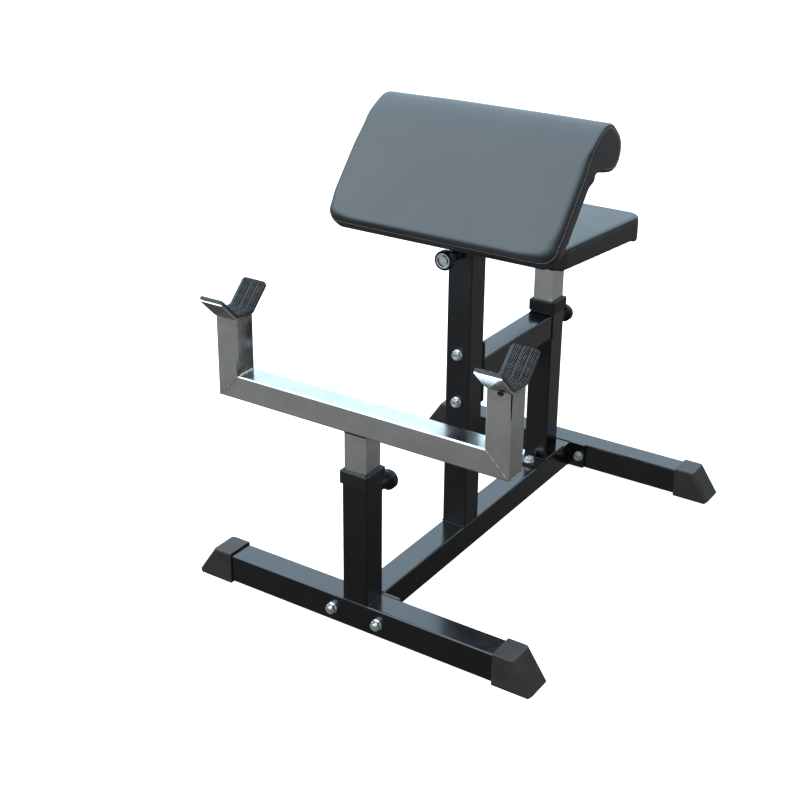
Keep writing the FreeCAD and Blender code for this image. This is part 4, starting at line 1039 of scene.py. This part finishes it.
def seat_seam():
    pts = seat_outline(0.0, 10)
    loop, _ = resample([Vector((p.x, p.y, SEAT_HIGH + seat_rise(p.y) - 0.0105)) for p in pts], 0.006, True)
    centre = Vector((0, SEAT_Y, 0))
    out = []
    n = len(loop)
    for i, p in enumerate(loop):
        t = (loop[(i + 1) % n] - loop[i - 1]).normalized()
        o = Vector((t.y, -t.x, 0))
        if o.dot(p - centre) < 0:
            o = -o
        out.append((p, o))
    return out


def snap(points, ob, closed):
    """Drops a seam line onto the finished cover: points with their surface normals."""
    me = ob.data
    tree = BVHTree.FromPolygons([v.co.copy() for v in me.vertices], [tuple(p.vertices) for p in me.polygons])
    on = []
    for p, o in points:
        hit = tree.ray_cast(p + o * 0.03, -o, 0.06)
        if hit[0] is None:
            hit = tree.find_nearest(p)
        on.append((hit[0], hit[1]))
    return on


def sew(ob, points, depth, reach):
    """Pulls the cover in along a seam."""
    me = ob.data
    path, _ = resample([p for p, _ in points], 0.002, False)
    kd = KDTree(len(path))
    for i, p in enumerate(path):
        kd.insert(p, i)
    kd.balance()
    co, no = arrays(me)
    out = co.copy()
    for i in range(len(co)):
        _, _, d = kd.find(co[i])
        if d < reach * 3:
            out[i] -= no[i] * depth * math.exp(-(d / reach) ** 2)
    set_co(me, out)


def stitch_line(name, points, closed, thread="thread", length=0.0042, gap=0.0013, radius=0.00038):
    """Thread lying along a seam, one short stitch after another."""
    pos = [p for p, _ in points]
    nor = [n for _, n in points]
    if closed:
        pos.append(pos[0])
        nor.append(nor[0])
    run = [0.0]
    for a, b in zip(pos, pos[1:]):
        run.append(run[-1] + (b - a).length)

    def at(d):
        k = min(max(int(np.searchsorted(run, d)) - 1, 0), len(pos) - 2)
        seg = max(run[k + 1] - run[k], 1e-9)
        f = min(max((d - run[k]) / seg, 0.0), 1.0)
        return pos[k].lerp(pos[k + 1], f), nor[k].lerp(nor[k + 1], f).normalized()

    soup = Soup()
    d = 0.001
    while d + length < run[-1]:
        rings = []
        for i, (f, lift, size) in enumerate(((0.0, -0.5, 0.5), (0.14, 0.25, 0.9), (0.5, 0.6, 1.0),
                                             (0.86, 0.25, 0.9), (1.0, -0.5, 0.5))):
            p, n = at(d + f * length)
            q, _ = at(d + f * length + 0.0004)
            t = (q - p).normalized() if (q - p).length > 1e-9 else Vector((0, 0, 1))
            b = t.cross(n).normalized()
            c = p + n * radius * lift
            rings.append([c + (n * math.sin(a) + b * math.cos(a)) * radius * size
                          for a in (2 * math.pi * j / 6 for j in range(6))])
        soup.tube(rings)
        d += length + gap + RNG.uniform(-0.0002, 0.0002)
    return soup.piece(name, MAT[thread])


def staple(soup, centre, along, down):
    """One wire staple: a short crown with its legs driven in."""
    along, down = Vector(along).normalized(), Vector(down).normalized()
    c = Vector(centre)
    side = along.cross(down)
    pts = [c - along * 0.0055 - down * 0.002, c - along * 0.0053 + down * 0.0005,
           c - along * 0.0046 + down * 0.0009, c + along * 0.0046 + down * 0.0009,
           c + along * 0.0053 + down * 0.0005, c + along * 0.0055 - down * 0.002]
    tang = tangents(pts, False)
    rings = []
    for p, t in zip(pts, tang):
        n = side.cross(t).normalized()
        rings.append([p + (side * math.cos(a) + n * math.sin(a)) * 0.0005
                      for a in (2 * math.pi * j / 6 for j in range(6))])
    soup.tube(rings)


def turned_edge(name, outer, inward, down, lifts, width, seed):
    """The cover's edge turned under the board: one strip with a hand-cut, wavy inner edge."""
    rng = random.Random(seed)
    waves = [(rng.uniform(8, 16), rng.uniform(0, 6.28), rng.uniform(0.0010, 0.0022)) for _ in range(4)]
    rings = []
    count = len(outer)
    for i, (p, inn) in enumerate(zip(outer, inward)):
        u = i / count
        wob = sum(a * math.sin(2 * math.pi * f * u + ph) for f, ph, a in waves)
        puck = sum(0.25 * a * math.sin(2 * math.pi * 2.3 * f * u + ph * 1.7) for f, ph, a in waves)
        ring = []
        for frac, low in lifts:
            reach = width * frac + (wob * frac if frac > 0.5 else 0.0)
            ring.append(p + inn * reach + down * (low + (puck if 0.1 < frac < 0.9 else 0.0)))
        rings.append(ring)
    return rings


def pad_underside():
    """Cover edge and staples on the back of the arm pad's board."""
    outer, inward = [], []

    def put(x, s, ix, is_):
        outer.append(pad_point(x, s, 0))
        inward.append((pad_point(x + ix, s + is_, 0) - pad_point(x, s, 0)).normalized())

    edge, turn = PAD_HALF - 2.5, PAD_CORNER - 2.5
    flat = edge - turn
    for s in np.linspace(182, PAD_CORNER + 3.0, 60):
        put(edge, s, -1, 0)
    for i in range(1, 20):
        a = math.radians(90.0 * i / 20)
        put(flat + turn * math.cos(a), PAD_CORNER - turn * math.sin(a), -math.cos(a), math.sin(a))
    for x in np.linspace(flat - 2.0, 2.0 - flat, 120):
        put(x, 2.5, 0, 1)
    for i in range(1, 20):
        a = math.radians(90.0 * i / 20)
        put(-flat - turn * math.sin(a), PAD_CORNER - turn * math.cos(a), math.sin(a), math.cos(a))
    for s in np.linspace(PAD_CORNER + 3.0, 182, 60):
        put(-edge, s, 1, 0)
    out = (pad_point(0, 0, -1) - pad_point(0, 0, 0)).normalized()
    lifts = [(0.0, 0.0360), (0.02, 0.0395), (0.06, 0.0430), (0.13, 0.0452), (0.25, 0.0462), (0.5, 0.0463),
             (0.75, 0.0463), (0.97, 0.0461), (1.0, 0.0455), (0.97, 0.0448), (0.5, 0.0445), (0.12, 0.0420), (0.03, 0.0350)]
    soup = Soup()
    soup.tube(turned_edge("pad", outer, inward, out, lifts, 0.046, 3))
    flap = soup.piece("arm_pad_turned_edge", MAT["pad_vinyl"])
    pins = Soup()
    for i in range(4, len(outer) - 3, 7):
        along = outer[i + 1] - outer[i - 1]
        tilt = RNG.uniform(-0.25, 0.25)
        d = along.normalized() + inward[i] * tilt
        staple(pins, outer[i] + inward[i] * (0.036 + RNG.uniform(-0.002, 0.002)) + out * 0.0466, d, out)
    return flap, pins.piece("arm_pad_staples", MAT["zinc_fastener"])


def seat_underside():
    loop, _ = resample([Vector((p.x, p.y, 0.0)) for p in seat_outline(0.0025, 12)], 0.004, True)
    outer, inward = [], []
    n = len(loop)
    centre = Vector((0, SEAT_Y, 0))
    for i, p in enumerate(loop):
        t = (loop[(i + 1) % n] - loop[i - 1]).normalized()
        o = Vector((-t.y, t.x, 0))
        if o.dot(centre - p) < 0:
            o = -o
        outer.append(Vector((p.x, p.y, SEAT_LOW)))
        inward.append(o)
    out = Vector((0, 0, -1))
    lifts = [(0.0, -0.0090), (0.02, -0.0055), (0.06, -0.0020), (0.13, 0.0002), (0.25, 0.0012), (0.5, 0.0013),
             (0.75, 0.0013), (0.97, 0.0011), (1.0, 0.0005), (0.97, -0.0002), (0.5, -0.0005), (0.12, -0.0030), (0.03, -0.0100)]
    soup = Soup()
    soup.tube(turned_edge("seat", outer, inward, out, lifts, 0.036, 5), closed=True)
    flap = soup.piece("seat_pad_turned_edge", MAT["pad_vinyl"])
    pins = Soup()
    for i in range(2, n - 1, 7):
        along = outer[(i + 1) % n] - outer[i - 1]
        d = along.normalized() + inward[i] * RNG.uniform(-0.25, 0.25)
        staple(pins, outer[i] + inward[i] * (0.028 + RNG.uniform(-0.002, 0.002)) + out * 0.0016, d, out)
    return flap, pins.piece("seat_pad_staples", MAT["zinc_fastener"])


def upholstery():
    pad = build_arm_pad()
    seam = snap(pad_seam(), pad, False)
    sew(pad, seam, 0.0013, 0.0026)
    seam = snap([(p, n) for p, n in seam], pad, False)
    pad.data.materials.clear()
    pad.data.materials.append(MAT["pad_vinyl"])
    pad.data.polygons.foreach_set("use_smooth", [True] * len(pad.data.polygons))
    thread = stitch_line("arm_pad_thread", seam, False)
    flap, pins = pad_underside()
    for ob in (pad, thread, flap, pins):
        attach(ob, "pad")
    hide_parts("arm_pad")

    seat = build_seat_pad()
    line = snap(seat_seam(), seat, True)
    sew(seat, line + line[:1], 0.0006, 0.0022)
    line = snap([(p, n) for p, n in line], seat, True)
    seat.data.materials.clear()
    seat.data.materials.append(MAT["pad_vinyl"])
    seat.data.polygons.foreach_set("use_smooth", [True] * len(seat.data.polygons))
    thread = stitch_line("seat_pad_thread", line, True, "thread_dark", radius=0.00030)
    flap, pins = seat_underside()
    for ob in (seat, thread, flap, pins):
        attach(ob, "seat")
    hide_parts("seat_pad")


# ---------------------------------------------------------------- bar rest linings
def liner_height(u, v):
    """Raised tread in mm, and its kind: 0 plain strip, 1 top of a diamond, 2 valley."""
    for lo, hi in ((-19.0, -4.6), (-1.2, 9.8), (13.6, 23.6)):
        if lo <= v <= hi:
            p = 3.9
            a = abs(math.sin(math.pi * (u + v * 0.85) / p))
            b = abs(math.sin(math.pi * (u - v * 0.85) / p))
            edge = min(1.0, (v - lo) / 0.7, (hi - v) / 0.7)
            h = 1.2 * (a * b) ** 0.6 * max(0.0, edge)
            return h, (1 if h > 0.86 else 2)
    return 0.55, 0


def build_liner(name, cx):
    """Rubber lining of one bar rest: a treaded mat bent over the saddle, round at its free corners."""
    base_z = 0.528
    corners = [(-57.85, 46.67), (-19.19, 8.0), (19.19, 8.0), (57.85, 46.67)]
    dense, _ = resample([Vector((y, z, 0)) for y, z in corners], 0.5, False)
    path = np.array([(p.x, p.y) for p in dense])
    kernel = 7
    soft = path.copy()
    for i in range(kernel, len(path) - kernel):
        soft[i] = path[i - kernel:i + kernel + 1].mean(axis=0)
    path = soft
    step = np.linalg.norm(np.diff(path, axis=0), axis=1)
    run = np.concatenate(([0.0], np.cumsum(step)))
    total = run[-1]
    tang = np.gradient(path, axis=0)
    tang /= np.linalg.norm(tang, axis=1, keepdims=True)
    normal = np.stack((-tang[:, 1], tang[:, 0]), axis=1)
    nv = 101
    verts, faces, kinds = [], [], []

    def half(u):
        d = min(u, total - u)
        return 25.3 if d >= 6.0 else 19.3 + math.sqrt(max(0.0, 36.0 - (6.0 - d) ** 2))

    rows = len(path)
    for i in range(rows):
        w = half(run[i])
        for j in range(nv):
            v = -w + 2 * w * j / (nv - 1)
            rim = min(w - abs(v), run[i], total - run[i])
            h, sort = liner_height(run[i], v)
            h *= min(1.0, max(0.0, rim / 0.5) ** 0.5)
            kinds.append(sort)
            y, z = path[i] + normal[i] * (h - 0.35)
            verts.append((cx + v * MM, FRONT_Y + y * MM, base_z + z * MM))
    for i in range(rows - 1):
        for j in range(nv - 1):
            a = i * nv + j
            faces.append((a, a + 1, a + nv + 1, a + nv))
    low = len(verts)
    for i in range(rows):
        w = half(run[i])
        y, z = path[i] - normal[i] * 4.95
        verts.append((cx - w * MM, FRONT_Y + y * MM, base_z + z * MM))
        verts.append((cx + w * MM, FRONT_Y + y * MM, base_z + z * MM))
    for i in range(rows - 1):
        a, b = low + 2 * i, low + 2 * i + 2
        faces.append((a, a + 1, b + 1, b))
        faces.append((i * nv, (i + 1) * nv, b, a))
        faces.append((i * nv + nv - 1, a + 1, b + 1, (i + 1) * nv + nv - 1))
    faces.append(tuple(range(nv)) + (low + 1, low))
    last = (rows - 1) * nv
    faces.append(tuple(last + j for j in reversed(range(nv))) + (low + 2 * (rows - 1), low + 2 * (rows - 1) + 1))
    ob = new_piece(name, verts, faces, MAT["liner_rubber"], smooth=False)
    ob.data.materials.append(MAT["liner_valley_shade"])
    ob.data.materials.append(MAT["liner_top_highlight"])
    # Valley faces take the rubber painted dark as shade, diamond tops the rubber painted light as a highlight.
    for poly in ob.data.polygons:
        ids = [kinds[v] for v in poly.vertices if v < len(kinds)]
        if len(ids) == len(poly.vertices):
            poly.material_index = 1 if ids.count(2) >= 2 else 2 if ids.count(1) >= 2 else 0
    return ob


def linings():
    for side, sign in (("left", -1), ("right", 1)):
        ob = build_liner(f"bar_rest_tread_{side}", sign * 0.2685)
        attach(ob, "rack")
        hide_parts(f"rack_liner_{side}")


# ---------------------------------------------------------------- knob faces
def build_disc(name, y_face, z, way, turn):
    """Face plate of a pull knob: a raised ring, two curved slots and a stippled middle."""
    rings = 56
    sectors = 180
    verts, faces, dark = [], [], []
    c = Vector((0.0, y_face, z))
    rng = random.Random(17)
    dimples = [(rng.uniform(1.2, 6.4), rng.uniform(0, 2 * math.pi)) for _ in range(46)]

    def level(r, a):
        if r > 11.0:
            return 0.0 - 0.5 * max(0.0, (r - 13.3) / 0.6) ** 2 - 0.3 * max(0.0, (11.5 - r) / 0.5) ** 2
        if 8.0 < r < 10.7:
            for mid in (turn, turn + math.pi):
                gap = abs((a - mid + math.pi) % (2 * math.pi) - math.pi)
                if gap < 1.02:
                    return -1.1
        h = -0.45
        if r < 7.4:
            for dr, da in dimples:
                d2 = r * r + dr * dr - 2 * r * dr * math.cos(a - da)
                h += 0.22 * math.exp(-d2 / 0.20)
        return h

    verts.append(c + Vector((0, way * (level(0.0, 0.0)) * MM, 0)))
    for i in range(1, rings + 1):
        r = 13.9 * i / rings
        for k in range(sectors):
            a = 2 * math.pi * k / sectors
            verts.append(c + Vector((r * math.cos(a) * MM, way * level(r, a) * MM, r * math.sin(a) * MM)))
    back = len(verts)
    for k in range(sectors):
        a = 2 * math.pi * k / sectors
        verts.append(c + Vector((13.9 * math.cos(a) * MM, -way * 1.25 * MM, 13.9 * math.sin(a) * MM)))
    for k in range(sectors):
        q = (k + 1) % sectors
        faces.append((0, 1 + k, 1 + q))
        dark.append(0)
    for i in range(rings - 1):
        for k in range(sectors):
            q = (k + 1) % sectors
            a, b = 1 + i * sectors, 1 + (i + 1) * sectors
            faces.append((a + k, b + k, b + q, a + q))
            mids = [(verts[v] - c).dot(Vector((0, way, 0))) for v in (a + k, b + k, b + q, a + q)]
            dark.append(1 if sum(mids) / 4 < -0.62 * MM else 0)
    outer = 1 + (rings - 1) * sectors
    for k in range(sectors):
        q = (k + 1) % sectors
        faces.append((outer + k, back + k, back + q, outer + q))
        dark.append(0)
    faces.append(tuple(back + k for k in range(sectors)))
    dark.append(0)
    ob = new_piece(name, verts, faces, MAT["disc"])
    ob.data.materials.append(MAT["disc_dark"])
    if len(ob.data.polygons) == len(dark):
        ob.data.polygons.foreach_set("material_index", dark)
    return ob


def knob_faces():
    for name, y, z, way in (("rack", FRONT_Y + 0.0845, 0.253, 1), ("pad", UPRIGHT_Y - 0.0845, 0.607, -1),
                            ("seat", SEAT_Y + 0.0845, 0.355, 1)):
        ob = build_disc(f"{name}_knob_face", y, z, way, math.radians(38))
        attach(ob, f"{name}_knob")
        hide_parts(f"{name}_pin_disc")


def pin_springs():
    """The coil springs in the three bosses: each is pressed up against its plunger's collar as the pin is pulled."""
    wire, mean = 0.0004, 0.0052
    for name, post_y, z, way in (("rack", FRONT_Y, 0.253, 1), ("pad", UPRIGHT_Y, 0.607, -1), ("seat", SEAT_Y, 0.355, 1)):
        rings = []
        for i in range(141):
            turn = 3.5 * i / 140.0
            out = float(np.interp(turn, (0.0, 0.5, 3.0, 3.5), (0.0322, 0.0326, 0.0428, 0.0432)))
            slope = float(np.interp(turn, (0.3, 0.7, 2.8, 3.2), (0.0001, 0.00065, 0.00065, 0.0001)))
            a = 2 * math.pi * turn
            radial = Vector((math.cos(a), 0.0, math.sin(a)))
            along = Vector((-mean * math.sin(a), way * slope, mean * math.cos(a))).normalized()
            across = along.cross(radial)
            centre = Vector((0.0, post_y + way * out, z)) + radial * mean
            rings.append([centre + radial * (wire * math.cos(b)) + across * (wire * math.sin(b))
                          for b in (2 * math.pi * j / 10 for j in range(10))])
        soup = Soup()
        soup.tube(rings)
        ob = soup.piece(f"{name}_spring_coil", MAT["pin_steel"])
        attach(ob, f"{name}_pin")
        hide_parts(f"{name}_pin_spring")
        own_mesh(ob)


def bolt_rims():
    """The low pressed ring on the face of each bolt head of the frame."""
    soup = Soup()
    heads = [((0.0, UPRIGHT_Y - 0.0334, z), X, Z) for z in UPRIGHT_BOLTS]
    heads += [((x, REAR_FLANGE - 0.0109, 0.030), X, Z) for x in (-BOLT_OUT, BOLT_OUT)]
    heads += [((x, FRONT_FLANGE + 0.0109, 0.030), X, Z) for x in (-BOLT_OUT, BOLT_OUT)]
    heads += [((0.0, SEAT_Y + y, FOOT_PLATE + 0.0109), X, Y) for y in (-BOLT_OUT, BOLT_OUT)]
    for centre, ax, ay in heads:
        out = ax.cross(ay)
        rings = []
        for i in range(32):
            a = 2 * math.pi * i / 32
            way = ax * math.cos(a) + ay * math.sin(a)
            rings.append([Vector(centre) + way * (0.0052 + 0.00075 * math.cos(b)) + out * (0.00055 * math.sin(b))
                          for b in (2 * math.pi * j / 10 for j in range(10))])
        soup.tube(rings, True)
    ob = soup.piece("frame_bolt_rims", MAT["zinc_nut"])
    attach(ob, "frame")


# ---------------------------------------------------------------- welds
X, Y, Z = Vector((1, 0, 0)), Vector((0, 1, 0)), Vector((0, 0, 1))


def welds():
    soup = Soup()
    for y, z in ((FRONT_Y, 0.057), (UPRIGHT_Y, 0.057), (SEAT_Y, 0.062)):
        bead(soup, square_loop((0, y, z + 0.0004), X, Y, 0.0254, 0.0036), 0.0016, Z, True, flat=0.6)
    for y in (-0.34816, 0.36884):
        bead(soup, square_loop((0, y, 0.030), X, Z, 0.0253, 0.0034, tall=0.0273), 0.0016, Y, True, flat=0.6)
    bead(soup, square_loop((0, -0.01816, 0.362), X, Z, 0.0253, 0.0034), 0.0017, Y, True, flat=0.6)
    bead(soup, square_loop((0, 0.2541, 0.362), X, Z, 0.0248, 0.0034), 0.0029, Y, True, flat=0.53)
    for y, z, way in ((FRONT_Y, 0.253, 1), (UPRIGHT_Y, 0.607, -1), (SEAT_Y, 0.355, 1)):
        bead(soup, circle_loop((0, y + way * 0.0252, z), X, Z, 0.0112), 0.0018, Y, True, pitch=0.0034)
    ob = soup.piece("frame_weld_beads", MAT["frame_bead"])
    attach(ob, "frame")

    soup = Soup()
    front, rear = FRONT_Y - 0.0224, FRONT_Y + 0.0224
    for sign in (-1, 1):
        inner, outer = sign * 0.2462, sign * 0.2896
        for y, up in ((front, -Y), (rear, Y)):
            bead(soup, [(inner, y, 0.4238), (outer, y, 0.3804)], 0.0012, up, pitch=0.0032, flat=0.45)
        bead(soup, [(sign * 0.2458, front + 0.0035, 0.4242), (sign * 0.2458, rear - 0.0035, 0.4242)], 0.0024,
             (-sign, 0, 1), pitch=0.0040)
        bead(soup, [(sign * 0.2902, front + 0.0035, 0.3798), (sign * 0.2902, rear - 0.0035, 0.3798)], 0.0016,
             (sign, 0, -1), pitch=0.0036, flat=0.6)
        for side in (-1, 1):
            bead(soup, [(sign * 0.2685 + side * 0.0228, FRONT_Y - 0.019, 0.5276),
                        (sign * 0.2685 + side * 0.0228, FRONT_Y + 0.019, 0.5276)], 0.0016, (side, 0, -0.4), pitch=0.0036)
    for side in (-1, 1):
        bead(soup, [(side * 0.0228, FRONT_Y - 0.020, 0.3788), (side * 0.0228, FRONT_Y + 0.020, 0.3788)], 0.0020,
             (side, 0, -1), pitch=0.0038)
    # One spot under the right rest is blown through: a ragged rim round a flat dark disc that stands for the hole, its
    # dark colour partly burnt metal and partly painted shade.
    pit = Vector((0.2712, FRONT_Y - 0.0226, 0.5249))
    rim = [pit + X * (0.0050 * math.cos(a) * (1 + 0.10 * math.sin(3 * a))) + Z * (0.0026 * math.sin(a) * (1 + 0.14 * math.cos(2 * a)))
           for a in (2 * math.pi * i / 40 for i in range(40))]
    bowl = Soup()
    bead(bowl, rim, 0.0006, -Y, True, pitch=0.0026)
    bowl.tube([[pit + (p - pit) * f - Y * d for p in rim] for f, d in
               ((1.0, -0.0004), (1.0, 0.0002), (0.8, 0.0003), (0.5, 0.0001), (0.2, 0.0001))])
    hole = bowl.piece("rack_weld_pit", MAT["burnt_shaded"])
    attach(hole, "rack")
    ob = soup.piece("rack_weld_beads", MAT["weld"])
    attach(ob, "rack")

    soup = Soup()
    bead(soup, square_loop((0, SEAT_Y, 0.5206), X, Y, 0.0230, 0.0032), 0.0022, Z, True)
    ob = soup.piece("seat_stem_weld", MAT["frame_paint"])
    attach(ob, "seat")

    loop = square_loop((0, 0, 0), X, Y, 0.0230, 0.0032)
    top = []
    for p in loop:
        y = UPRIGHT_Y + p.y
        # the bracket's underside: n = -49 on the slope
        s = (y - PAD_ORIGIN.y - 0.049 * math.sin(SLOPE)) / math.cos(SLOPE)
        top.append(Vector((p.x, y, PAD_ORIGIN.z + s * math.sin(SLOPE) - 0.049 * math.cos(SLOPE) - 0.0006)))
    soup = Soup()
    bead(soup, top, 0.0022, Z, True)
    ob = soup.piece("pad_stem_weld", MAT["frame_paint"])
    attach(ob, "pad")


# ---------------------------------------------------------------- assembly
add_camera()
add_studio()
MAT = build_materials()
finish_nodes()
upholstery()
linings()
knob_faces()
pin_springs()
bolt_rims()
welds()
